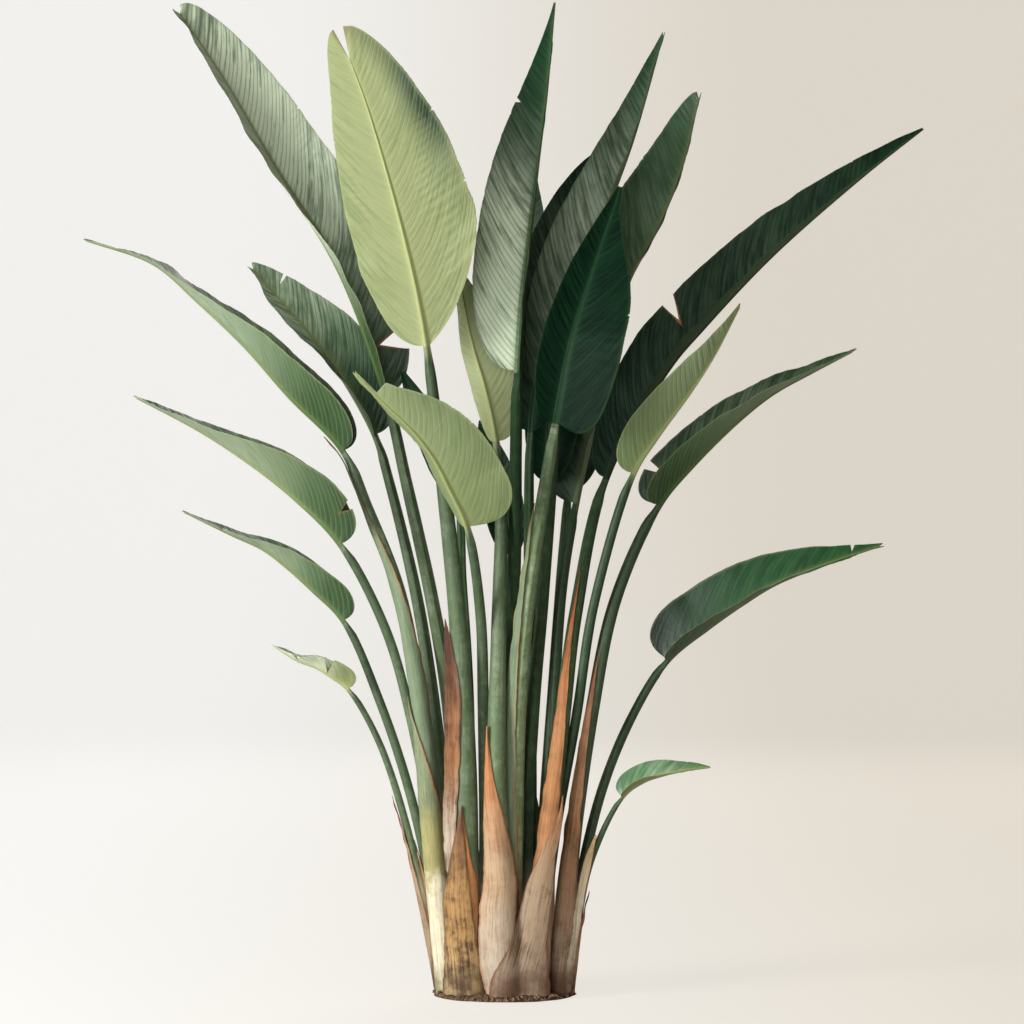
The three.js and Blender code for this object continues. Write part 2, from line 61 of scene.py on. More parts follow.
MM = 0.001
CROWN_RADIUS = 141.0
CROWN_HEIGHT = 14.0
CROWN_RAGGED = 3.0
STAND = CROWN_HEIGHT + 0.3  # height at which every stalk and sheath stands
BLADE_THICK = 1.1
RIB_AT_TIP = 1.3  # the midrib's size where it ends; at its foot it is the stalk's half width
RIB_REACH = 0.62  # how far the midrib reaches to either side, as a share of its size
RIB_LIFT = 0.15  # how far the blade sits above the midrib's middle, as a share of its size
FLATTEN = 0.84  # a stalk's depth over its width at its foot
VEIN_LEAN = 0.4  # how far a cut across the blade leans towards the tip
SHEATH_CLEAR = 1.9  # gap between a stalk and the sheath round it
WIDEST_WRAP = 172.0  # degrees either way: just short of a closed ring
SHORT_POINT = 0.008  # what is left of a sheath's angle at its point
STALK_STEP = 15.0  # spacing of the rows of a mesh along a stalk
BLADE_STEP = 3.4  # the same along a blade
SPLIT_GRIP = 0.8  # power of a split's outline: below 1 it is blunt
PIECE_STEPS = 60  # how finely each piece of a line is measured
STALK_ROWS = 300  # how finely a stalk is read where a sheath lies on it
ROUND_OFF = 3.0  # how much a loose sheath is rounded off over the stalks
FRAY_HEIGHT = 60.0  # height over which a sheath's foot is frayed
SOIL_LINE = (15.0, 260.0)  # heights between which the stain of the soil fades out
PALE_FOOT = (60.0, 400.0)  # heights between which the pale foot of a stalk fades out
FOOT_DARK_TONE = 0.55  # a leaf above this tone is no darker at the foot of its blade than at its tip

Triple = tuple[float, float, float]
Pair = tuple[float, float]
Node = bpy.types.Node
Tree = bpy.types.NodeTree
Socket = bpy.types.NodeSocket
Sockets = dict[str, Socket]
Value = Socket | float | tuple[float, ...]  # what an input takes: another socket, or a constant


def smooth(value: np.ndarray, low: float, high: float) -> np.ndarray:
    """Ease from 0 at low to 1 at high: three squares less two cubes of the clamped share."""
    x = np.clip((value - low) / (high - low), 0.0, 1.0)
    return x * x * (3.0 - 2.0 * x)


def mix(a: np.ndarray | float, b: np.ndarray | float, share: np.ndarray | float) -> np.ndarray:
    """Straight blend: a plus the share of the way from a to b."""
    return a + (b - a) * share


def wander(value: np.ndarray, seed: int, step: float) -> np.ndarray:
    """A smooth random line: 1.6 times the mean of six sines whose lengths are 0.6 to 2.4 steps.

    Args:
        value: where to read it.
        seed: which line.
        step: its typical wave length, in the unit of value.

    Returns:
        Values that are mostly between -1 and 1.
    """
    rng = np.random.default_rng(seed)
    lengths = step * rng.uniform(0.6, 2.4, 6)
    starts = rng.uniform(0.0, 2.0 * np.pi, 6)
    waves = np.sin(2.0 * np.pi * value[..., None] / lengths + starts)
    return waves.mean(axis=-1) * 1.6


def seed_of(name: str) -> int:
    """A number that stays the same for a name: the sum of its letters, each times its place."""
    return sum((i + 3) * ord(letter) for i, letter in enumerate(name))


class Side(Enum):
    """The two halves of a blade, as seen on its upper face with the tip up."""

    LEFT = -1
    RIGHT = 1

    @property
    def place(self) -> int:
        """Where this half stands in a pair of values."""
        return 0 if self is Side.LEFT else 1


@dataclass(frozen=True)
class Tear:
    """A cut from the margin towards the midrib: where, which half, how deep and how wide."""

    at: float
    side: int
    deep: float
    wide: float


@dataclass(frozen=True)
class Spine:
    """The line that a leaf follows: a centripetal Catmull-Rom curve through its knots."""

    knots: np.ndarray

    def evaluate(self, parameter: np.ndarray) -> np.ndarray:
        """Points of the curve.

        Each piece is a cubic between two knots. The slopes at its ends come from the neighbouring
        knots, with the square roots of the three chords as the times between them.

        Args:
            parameter: 0 at the first knot and 1 at the last, with the same step for every piece.

        Returns:
            One row of three coordinates for each parameter.
        """
        knots = self.knots
        first, last = 2 * knots[:1] - knots[1:2], 2 * knots[-1:] - knots[-2:-1]
        padded = np.vstack([first, knots, last])
        scaled = np.clip(parameter, 0.0, 1.0) * (len(knots) - 1)
        piece = np.minimum(scaled.astype(int), len(knots) - 2)
        w = (scaled - piece)[:, None]
        p0, p1, p2, p3 = (padded[piece + k] for k in range(4))
        d0, d1, d2 = (
            np.sqrt(np.linalg.norm(b - a, axis=1))[:, None]
            for a, b in ((p0, p1), (p1, p2), (p2, p3))
        )
        m1 = ((p1 - p0) / d0 - (p2 - p0) / (d0 + d1) + (p2 - p1) / d1) * d1
        m2 = ((p2 - p1) / d1 - (p3 - p1) / (d1 + d2) + (p3 - p2) / d2) * d1
        square, cube = -3 * p1 + 3 * p2 - 2 * m1 - m2, 2 * p1 - 2 * p2 + m1 + m2
        return p1 + m1 * w + square * w**2 + cube * w**3

    def table(self) -> tuple[np.ndarray, np.ndarray]:
        """Lengths of the curve, the sums of its short chords.

        Returns:
            Parameters and the length of the curve up to each.
        """
        parameter = np.linspace(0.0, 1.0, PIECE_STEPS * (len(self.knots) - 1) + 1)
        steps = np.linalg.norm(np.diff(self.evaluate(parameter), axis=0), axis=1)
        return parameter, np.concatenate([[0.0], np.cumsum(steps)])

    def length(self) -> float:
        """Length of the whole line."""
        return float(self.table()[1][-1])

    def share_of_knot(self, index: int) -> float:
        """Share of the length at which a knot lies."""
        lengths = self.table()[1]
        return float(lengths[PIECE_STEPS * index] / lengths[-1])

    def read(self, share: np.ndarray) -> tuple[np.ndarray, np.ndarray]:
        """Points and directions at shares of the length.

        Args:
            share: 0 at the foot and 1 at the tip.

        Returns:
            The points and the unit vectors along the line.
        """
        parameter, lengths = self.table()
        at = np.interp(share * lengths[-1], lengths, parameter)
        ahead = self.evaluate(at + 1e-4) - self.evaluate(at - 1e-4)
        return self.evaluate(at), ahead / np.linalg.norm(ahead, axis=1, keepdims=True)


@dataclass
class Skin:
    """A closed mesh in the making: a grid of points with its surface coordinates and marks.

    Rows run along the piece and columns round it. The first half of the columns is one face and the
    second half the other one, back again. grid is in millimetres, place holds the two surface
    coordinates, and each entry of marks four values for every point.
    """

    name: str
    grid: np.ndarray
    place: np.ndarray
    marks: dict[str, np.ndarray]

    def faces(self) -> np.ndarray:
        """Faces of the grid: a ring round every pair of rows, and a ladder over each open end.

        Returns:
            Four point numbers for each face, for every shell of the grid.
        """
        rows, columns = self.grid.shape[-3:-1]
        row = np.arange(rows - 1)[:, None] * columns
        here = np.arange(columns)[None, :]
        after = (here + 1) % columns
        round_faces = np.stack(
            [row + here, row + after, row + columns + after, row + columns + here], axis=-1
        ).reshape(-1, 4)
        rung = np.arange(columns // 2 - 1)
        start = np.stack([rung, columns - 1 - rung, columns - 2 - rung, rung + 1], axis=-1)
        end = start[:, ::-1] + (rows - 1) * columns
        one = np.vstack([round_faces, start, end])
        shells = np.arange(self.grid.size // 3 // rows // columns) * rows * columns
        return (one[None, :, :] + shells[:, None, None]).reshape(-1, 4)

    def build(self) -> bpy.types.Object:
        """Make the object, smooth shaded, with its faces outwards.

        The volume under the faces is a sum of triple products; if it is negative, every face is
        turned round.

        Returns:
            The object, in metres and at the origin.
        """
        points = self.grid.reshape(-1, 3) * MM
        faces = self.faces()
        a, b, c, d = (points[faces[:, k]] for k in range(4))
        volume = (a * np.cross(b, c)).sum() + (a * np.cross(c, d)).sum()
        if volume < 0:
            faces = faces[:, ::-1]
        mesh = bpy.data.meshes.new(self.name)
        mesh.vertices.add(len(points))
        mesh.vertices.foreach_set("co", points.astype(np.float32).ravel())
        mesh.loops.add(faces.size)
        mesh.loops.foreach_set("vertex_index", faces.astype(np.int32).ravel())
        mesh.polygons.add(len(faces))
        mesh.polygons.foreach_set("loop_start", np.arange(0, faces.size, 4, dtype=np.int32))
        mesh.update(calc_edges=True)
        mesh.shade_smooth()
        layer = mesh.uv_layers.new(name="surface")
        at = self.place.reshape(-1, 2)[faces.ravel()]
        layer.uv.foreach_set("vector", at.astype(np.float32).ravel())
        for name, values in self.marks.items():
            mark = mesh.attributes.new(name, "FLOAT_COLOR", "POINT")
            mark.data.foreach_set("color", values.reshape(-1, 4).astype(np.float32).ravel())
        mesh.validate()
        thing = bpy.data.objects.new(self.name, mesh)
        bpy.context.collection.objects.link(thing)
        return thing


WING = np.array([0.02, 0.06, 0.12, 0.19, 0.27, 0.36, 0.46, 0.56, 0.66, 0.76, 0.85, 0.93, 0.985, 1.0])
RIB = np.linspace(-1.0, 1.0, 7)


@dataclass(frozen=True)
class Columns:
    """What the columns round a leaf stand for.

    hand is the half that a column belongs to, out how far it lies from the midrib to the margin,
    face +1 on the upper face and -1 on the lower one, across its place on the midrib from -1 to 1,
    and on_rib tells which columns run along the midrib.
    """

    hand: np.ndarray
    out: np.ndarray
    face: np.ndarray
    across: np.ndarray
    on_rib: np.ndarray

    @classmethod
    def make(cls) -> Columns:
        """Columns from the left margin over the upper face to the right margin, and back below.

        Returns:
            The columns.
        """
        wing, rib = len(WING), len(RIB)
        hand = np.concatenate([-np.ones(wing), np.where(RIB < 0, -1.0, 1.0), np.ones(wing)])
        out = np.concatenate([WING[::-1], np.zeros(rib), WING])
        across = np.concatenate([np.zeros(wing), RIB, np.zeros(wing)])
        on_rib = np.concatenate([np.zeros(wing, bool), np.ones(rib, bool), np.zeros(wing, bool)])
        return cls(
            hand=np.concatenate([hand, hand[::-1]]),
            out=np.concatenate([out, out[::-1]]),
            face=np.concatenate([np.ones(len(hand)), -np.ones(len(hand))]),
            across=np.concatenate([across, across[::-1]]),
            on_rib=np.concatenate([on_rib, on_rib[::-1]]),
        )

    @property
    def count(self) -> int:
        """How many columns there are."""
        return len(self.hand)

    def pick(self, pair: Pair | np.ndarray) -> np.ndarray:
        """The value of a left and right pair that belongs to each column."""
        values = np.asarray(pair, float)
        return values[..., (self.hand > 0).astype(int)]


COLUMNS = Columns.make()


@dataclass(frozen=True)
class Leaf:
    """One leaf, from the foot of its stalk to the tip of its blade.

    foot is the middle of the stalk where it stands, stalk the points that it passes, base where the
    blade starts and blade the points of the midrib up to the tip. reach is the stalk's half width at
    its foot, at a third of its length and at the blade. half is the width of the blade's two halves,
    fold how far each is folded up in degrees and open the same at the tip. face is where the upper
    face looks. curl bends a half further on its way to the margin. peak, round, blunt and lobe shape
    the outline, point is how far the two points of a split tip stand out, and tip how far apart they
    are. tears are its cuts, and stop ends one half before the tip. tone goes from deep green to fresh
    yellow green. bloom is the pale wax on each half together with a painted sheen on its upper face,
    shine the place along the blade where both are strongest and spread how far they reach, and shade
    how strongly painted shade darkens the outer part of each half there. ripple is the height of its
    waves, and stem how grey the stalk is.
    """

    name: str
    foot: Pair
    stalk: tuple[Triple, ...]
    base: Triple
    blade: tuple[Triple, ...]
    reach: Triple
    half: Pair
    fold: Pair
    open: Pair
    curl: Pair
    face: Triple
    peak: float = 0.32
    round: float = 0.5
    blunt: Pair = (0.85, 0.85)
    lobe: Pair = (-0.12, -0.12)
    tip: float = 3.0
    point: float = 2.0
    tears: tuple[Tear, ...] = ()
    stop: tuple[int, float] | None = None
    tone: float = 0.3
    bloom: Pair = (0.3, 0.3)
    shine: float = 0.5
    spread: float = 0.34
    shade: Pair = (0.0, 0.0)
    ripple: float = 3.0
    stem: float = 0.5

    def spine(self) -> Spine:
        """The line of this leaf."""
        start = (*self.foot, STAND)
        return Spine(np.array([start, *self.stalk, self.base, *self.blade], float))

    def blade_start(self) -> float:
        """Share of the length at which the blade starts."""
        return self.spine().share_of_knot(len(self.stalk) + 1)

    def stalk_reach(self, share: np.ndarray) -> np.ndarray:
        """Half width of the stalk: straight from foot to middle over a third, then to the top."""
        return np.interp(share, [0.0, 0.35, 1.0], self.reach)

    def frame(self, share: np.ndarray) -> tuple[np.ndarray, np.ndarray, np.ndarray, np.ndarray]:
        """Points of the line with their directions along, to the right and up.

        Up is the way the upper face looks, made square to the line; right is along times up.

        Args:
            share: shares of the length.

        Returns:
            Points, along, side and up.
        """
        centre, along = self.spine().read(share)
        face = np.array(self.face)
        up = face - (along @ face)[:, None] * along
        up /= np.linalg.norm(up, axis=1, keepdims=True)
        return centre, along, np.cross(along, up), up

    def splits(self) -> list[Tear]:
        """The leaf's own tears and a few short splits in the margin, drawn by its name.

        Returns:
            All the cuts of the blade.
        """
        rng = np.random.default_rng(seed_of(self.name))
        small = []
        for side in Side:
            for at in rng.uniform(0.3, 0.95, rng.integers(0, 3)):
                small.append(Tear(at, side.value, rng.uniform(0.012, 0.04), rng.uniform(3.0, 6.0)))
        return [*self.tears, *small]

    def half_width(self, side: Side, t: np.ndarray, length: float) -> np.ndarray:
        """Width of one half of the blade.

        A blunt lens: the sine of a quarter turn up to the widest place, to the power of round, times
        the cosine of a quarter turn down to the tip, to the power of blunt.

        Args:
            side: which half.
            t: 0 at the foot of the blade and 1 at the tip.
            length: the blade's length.

        Returns:
            Widths in millimetres.
        """
        quarter = np.pi / 2
        rise = np.sin(quarter * np.minimum(t / self.peak, 1.0)) ** self.round
        past = np.maximum((t - self.peak) / (1.0 - self.peak), 0.0)
        fall = np.maximum(np.cos(quarter * past), 0.0) ** self.blunt[side.place]
        width = self.half[side.place] * rise * fall + self.tip * t**8
        if self.stop and self.stop[0] == side.value:
            width = mix(width, self.tip, smooth(t, self.stop[1], self.stop[1] + 3.0 / length))
        seed = seed_of(self.name) + side.place
        uneven = 0.006 * wander(t * length, seed, 34.0) + 0.003 * wander(t * length, seed + 5, 9.0)
        return np.maximum(width * (1.0 + uneven * smooth(t, 0.0, 0.1)), 1.0)

    def torn(self, t: np.ndarray, length: float) -> np.ndarray:
        """How far out every point lies on its half, with the splits taken out.

        A split leaves a V: what it takes goes down straight from its middle. A point moves in by
        what is taken times a power of its place, high enough to leave the midrib's side alone.

        Args:
            t: rows.
            length: the blade's length.

        Returns:
            0 at the midrib and 1 at an unbroken margin.
        """
        taken = np.zeros((len(t), COLUMNS.count))
        for cut in self.splits():
            near = np.clip(1.0 - np.abs(t - cut.at) * length / (cut.wide / 2.0), 0.0, 1.0)
            share = cut.deep * near[:, None] ** SPLIT_GRIP * (COLUMNS.hand == cut.side)
            taken = np.maximum(taken, share)
        power = np.clip(0.95 / np.maximum(taken, 1e-3), 1.0, 5.0)
        return COLUMNS.out - taken * COLUMNS.out**power

    def blade_rows(self, length: float) -> np.ndarray:
        """Where the blade is cut across: even steps, closer at its foot and at every split.

        Args:
            length: the blade's length.

        Returns:
            The rows, from 0 at its foot to 1 at its tip.
        """
        count = max(int(length / BLADE_STEP), 40)
        even = np.linspace(0.0, 1.0, count)
        foot = np.array([0.0004, 0.001, 0.0018, 0.0028])
        ways = np.array([-1, -0.5, 0, 0.5, 1])
        cuts = [cut.at + ways * cut.wide / 2 / length for cut in self.splits()]
        rows = np.sort(np.clip(np.concatenate([even, foot, *cuts]), 0.0, 1.0))
        return rows[np.concatenate([[True], np.diff(rows) > 0.15 / length])]

    def vein_line(self, along: np.ndarray, out: np.ndarray) -> np.ndarray:
        """Where the side vein through a point leaves the midrib: it climbs 0.82 and 0.0055 per mm."""
        return along - 0.82 * out - 0.0055 * out**2

    def relief(self, t: np.ndarray, width: np.ndarray, out: np.ndarray, length: float) -> np.ndarray:
        """How far the sheet stands out of its plain shape.

        Long waves grow towards the margin with the power 1.6 of the way out. Ribs follow the side
        veins: two sines of the vein's foot, 18 and 8.3 mm long, that fade in past the midrib and
        fade out again at the margin.

        Args:
            t: rows, 0 at the foot of the blade and 1 at its tip.
            width: width of the half at every point.
            out: how far out every point lies on it, 0 at the midrib and 1 at the margin.
            length: the blade's length.

        Returns:
            Millimetres at every point.
        """
        row = np.broadcast_to(t[:, None] * length, width.shape)
        seed = seed_of(self.name)
        left, right = (wander(row[:, 0], seed + 11 * k, 105.0) for k in (1, 2))
        slow = np.where(COLUMNS.hand[None, :] < 0, left[:, None], right[:, None])
        near = np.where(
            COLUMNS.hand[None, :] < 0,
            wander(row[:, 0], seed + 33, 46.0)[:, None],
            wander(row[:, 0], seed + 44, 46.0)[:, None],
        )
        waves = self.ripple * out**1.6 * (slow + 0.35 * near) * smooth(t, 0.02, 0.2)[:, None]
        foot = self.vein_line(row + VEIN_LEAN * width * out, width * out)
        drift = 2.2 * np.sin(foot / 37.0 + seed)
        ribs = 0.62 * np.sin(2 * np.pi * foot / 18.0 + drift) + 0.24 * np.sin(2 * np.pi * foot / 8.3)
        grip = smooth(out * width, 2.0, 16.0) * (1.0 - 0.7 * out**6)
        return np.where(COLUMNS.on_rib[None, :], 0.0, waves + ribs * grip)

    def blade_section(self, t: np.ndarray, length: float) -> tuple[np.ndarray, ...]:
        """Offsets of the blade's points from the line.

        A half is an arc: it starts at its fold angle and turns by its curl up to the margin. The
        midrib is a shallow channel between two low shoulders above and a round keel below.

        Args:
            t: rows, 0 at the foot of the blade and 1 at its tip.
            length: the blade's length.

        Returns:
            Offsets to the right, up and forward, and the way out from the midrib in millimetres.
        """
        col = COLUMNS
        rows = t[:, None]
        rib = RIB_AT_TIP + (self.reach[2] - RIB_AT_TIP) * (1.0 - rows) ** 1.1
        width = col.pick(np.stack([self.half_width(side, t, length) for side in Side], axis=-1))
        out = self.torn(t, length)
        ease = smooth(rows, 0.0, 0.8)
        fold = np.radians(mix(col.pick(self.fold), col.pick(self.open), ease))
        lean = mix(col.pick(self.lobe), VEIN_LEAN, smooth(rows, 0.0, 0.4)) * (1.0 - rows**6)
        curl = np.radians(col.pick(self.curl))
        curl = np.where(np.abs(curl) < 1e-4, 1e-4, curl)
        bend = fold + curl * out
        spread = width * (np.sin(bend) - np.sin(fold)) / curl
        climb = width * (np.cos(fold) - np.cos(bend)) / curl
        sheet = BLADE_THICK / 2 * (1.0 - 0.5 * smooth(col.out, 0.8, 1.0))
        thick = col.face * sheet + self.relief(t, width, out, length)
        right = RIB_REACH * rib + spread - thick * np.sin(bend)
        up = RIB_LIFT * rib + climb + thick * np.cos(bend)
        forward = (width * lean + self.point * rows**6) * out
        shoulder = 0.2 * np.exp(-(((np.abs(col.across) - 0.7) / 0.22) ** 2))
        dip = 0.16 * (1.0 - col.across**2)
        keel = np.sqrt(np.maximum(1.0 - col.across**2, 0.0))
        above = RIB_LIFT * rib + BLADE_THICK / 2 + rib * (shoulder - dip)
        below = RIB_LIFT * rib - BLADE_THICK / 2 - rib * keel
        rib_up = np.where(col.face > 0, above, below)
        right = np.where(col.on_rib, RIB_REACH * rib * col.across, col.hand * right)
        up = np.where(col.on_rib, rib_up, up)
        return right, up, np.where(col.on_rib, 0.0, forward), width * out

    def stalk_section(self, share: np.ndarray) -> tuple[np.ndarray, np.ndarray, np.ndarray]:
        """Offsets of the stalk's points from the line.

        An ellipse with a channel along its upper side: a bell curve of the angle, with a low edge
        beside it, which fades in over the first quarter of the stalk. Sines of the angle flute it,
        and slow lumps run along it.

        Args:
            share: shares of the stalk's length.

        Returns:
            Offsets to the right and up, and the angle of every column.
        """
        angle = np.pi * (1.0 - (np.arange(COLUMNS.count) + 0.5) / (COLUMNS.count / 2))
        reach = self.stalk_reach(share)[:, None]
        flat = mix(FLATTEN, 1.0, np.minimum(share * self.blade_start() * 2.0, 1.0))[:, None]
        off = np.abs(angle - np.pi / 2)
        channel = -0.17 * np.exp(-((off / 0.34) ** 2)) + 0.05 * np.exp(-(((off - 0.62) / 0.16) ** 2))
        seed = seed_of(self.name)
        lumps = 0.012 * wander(share * 1000.0, seed + 7, 160.0)[:, None]
        flutes = 0.006 * np.sin(9.0 * angle + seed) + 0.004 * np.sin(23.0 * angle)
        factor = 1.0 + channel * smooth(share, 0.05, 0.25)[:, None] + lumps + flutes
        return reach * factor * np.cos(angle), reach * factor * flat * np.sin(angle), angle

    def dryness(self, t: np.ndarray, length: float) -> np.ndarray:
        """Brown tissue: a fringe along every tear, and the last few millimetres of the tip.

        Args:
            t: rows, 0 at the foot of the blade and 1 at its tip.
            length: the blade's length.

        Returns:
            0 where the leaf is alive and 1 where it is dry, at every point.
        """
        col = COLUMNS
        dry = 0.4 * smooth(t, 0.988, 1.0)[:, None] * smooth(col.out, 0.55, 1.0)[None, :]
        for cut in self.tears:
            off = np.abs(t - cut.at) * length
            near = np.exp(-((np.maximum(off - 0.5 * cut.wide, 0.0) / 2.5) ** 2))[:, None]
            rim = 1.0 - cut.deep * np.clip(1.0 - 2.0 * off / cut.wide, 0.0, 1.0)[:, None]
            inner = smooth(col.out[None, :] * np.ones_like(rim), rim - 0.09, rim)
            strength = min(1.0, cut.deep * cut.wide / 12.0)
            dry = np.maximum(dry, strength * near * inner * (col.hand == cut.side))
        return dry

    def marks(
        self, s: np.ndarray, t: np.ndarray, blade: float, out: np.ndarray, z: np.ndarray
    ) -> dict[str, np.ndarray]:
        """What the finish reads at every point, the stalk's rows before the blade's.

        Args:
            s: rows of the stalk, 0 at its foot and 1 at the blade.
            t: rows of the blade, 0 at its foot and 1 at its tip.
            blade: the blade's length.
            out: the way out from the midrib of the blade's points, in millimetres.
            z: height of every point.

        Returns:
            The mark parts, which is upper side, midrib, dry tissue and stalk, and the mark growth, which
            is the stalk's pale foot or the blade's darkening towards its foot with painted shade towards its
            margins, then margin, tone, and wax with a painted sheen on the upper face.
        """
        col = COLUMNS
        shape = z.shape
        stem = np.concatenate([1.0 - smooth(s, 0.97, 1.0), np.zeros(len(t))])[:, None]
        rib = np.where(col.on_rib, 1.0, 0.8 * np.exp(-out / 4.5))
        rib = np.concatenate([np.zeros((len(s), col.count)), rib])
        dry = np.concatenate([np.zeros((len(s), col.count)), self.dryness(t, blade)])
        t_all = np.concatenate([np.zeros(len(s)), t])[:, None]
        # Darker towards the foot of the blade, and painted shade on the outer part of each half round shine.
        dark_foot_and_shade = (1.0 - smooth(t, 0.02, 0.42))[:, None] * (0.0 if self.tone > FOOT_DARK_TONE else 1.0)
        margin_shade = np.exp(-(((t - self.shine) / self.spread) ** 2))[:, None] * smooth(col.out, 0.35, 1.0)
        dark_foot_and_shade = np.maximum(dark_foot_and_shade, margin_shade * col.pick(self.shade))
        foot = 1.0 - smooth(z, *PALE_FOOT)
        # On the blade, foot carries that darkening and the painted shade.
        foot[len(s) :] = dark_foot_and_shade
        edge = smooth(col.out, 0.95, 1.0)[None, :] * np.ones(shape)
        bloom = col.pick(np.array(self.bloom))
        # Painted sheen on the upper face: the pale wax colour, strongest round shine and towards the midrib.
        above = bloom * np.exp(-(((t_all - self.shine) / self.spread) ** 2)) * (1.0 - 0.25 * col.out)
        wax = np.where(col.face > 0, above, 0.8 * bloom * smooth(t_all, 0.12, 0.6))
        grey = self.stem * (1.0 - 0.55 * smooth(s, 0.45, 0.95))
        wax = np.where(stem > 0.0, np.concatenate([grey, np.zeros(len(t))])[:, None], wax)
        upper_side = np.broadcast_to(col.face > 0, shape).astype(float)
        tone = self.tone * (1.0 if self.tone > FOOT_DARK_TONE else 0.2 + 0.8 * smooth(t_all, 0.0, 0.4))
        return {
            "parts": np.stack([upper_side, rib, dry, np.broadcast_to(stem, shape)], axis=-1),
            "growth": np.stack([foot, edge, np.broadcast_to(tone, shape), wax], axis=-1),
        }

    def skin(self) -> Skin:
        """The whole leaf as one closed grid.

        Returns:
            Stalk rows, whose section turns into the blade's over the last twentieth, then the
            blade's rows, with the surface coordinates and the marks that the finish reads.
        """
        col = COLUMNS
        length = self.spine().length()
        start = self.blade_start()
        blade = length * (1.0 - start)
        end = 1.0 - 6.0 / (length * start)
        s = np.linspace(0.0, end, int(length * start / STALK_STEP))
        t = self.blade_rows(blade)
        right, up, angle = self.stalk_section(s)
        rib_right, rib_up, _, _ = self.blade_section(np.zeros(1), blade)
        turn = smooth(s, 0.95, 1.0)[:, None]
        centre, _, side, face = self.frame(s * start)
        lower = centre[:, None, :] + side[:, None, :] * mix(right, rib_right, turn)[..., None]
        lower = lower + face[:, None, :] * mix(up, rib_up, turn)[..., None]
        lower[0, :, 2] = STAND
        right, up, forward, out = self.blade_section(t, blade)
        centre, along, side, face = self.frame(mix(start, 1.0, t))
        upper = centre[:, None, :] + side[:, None, :] * right[..., None]
        upper = upper + face[:, None, :] * up[..., None] + along[:, None, :] * forward[..., None]
        grid = np.concatenate([lower, upper])
        vein = self.vein_line(t[:, None] * blade + forward, out)
        reach = self.stalk_reach(s)[:, None]
        row_s = np.broadcast_to(s[:, None] * length * start, (len(s), col.count))
        place = np.concatenate(
            [
                np.stack([reach * angle, row_s], axis=-1),
                np.stack([np.where(col.on_rib, col.across * 3.0, col.hand * out), vein], axis=-1),
            ]
        )
        marks = self.marks(s, t, blade, out, grid[..., 2])
        return Skin(self.name.replace("leaf", "grown_leaf"), grid, place * MM, marks)


class Papery(Enum):
    """The tissue of a sheath: living, or what it has weathered to."""

    LIVING = "living"
    ORANGE = "orange"
    RUST = "rust"
    CREAM = "cream"
    MOTTLED = "mottled"
    TAN = "tan"
    ROSE = "rose"
    PALE = "pale"
    SEAMED = "seamed"
    BROWN = "brown"


def paper_marks(
    rise: np.ndarray, margin: np.ndarray, outer: np.ndarray, z: np.ndarray
) -> dict[str, np.ndarray]:
    """The marks of a sheath.

    Args:
        rise: rows, 0 at the foot and 1 at the point.
        margin: 0 on the sheet and 1 at its margins.
        outer: 1 on the outer face and 0 on the inner one.
        z: height of every point.

    Returns:
        The mark papery: these three, and how much of the soil's stain there is.
    """
    values = (rise[:, None], margin, outer, 1.0 - smooth(z, *SOIL_LINE))
    return {"papery": np.stack([np.broadcast_to(value, z.shape) for value in values], axis=-1)}


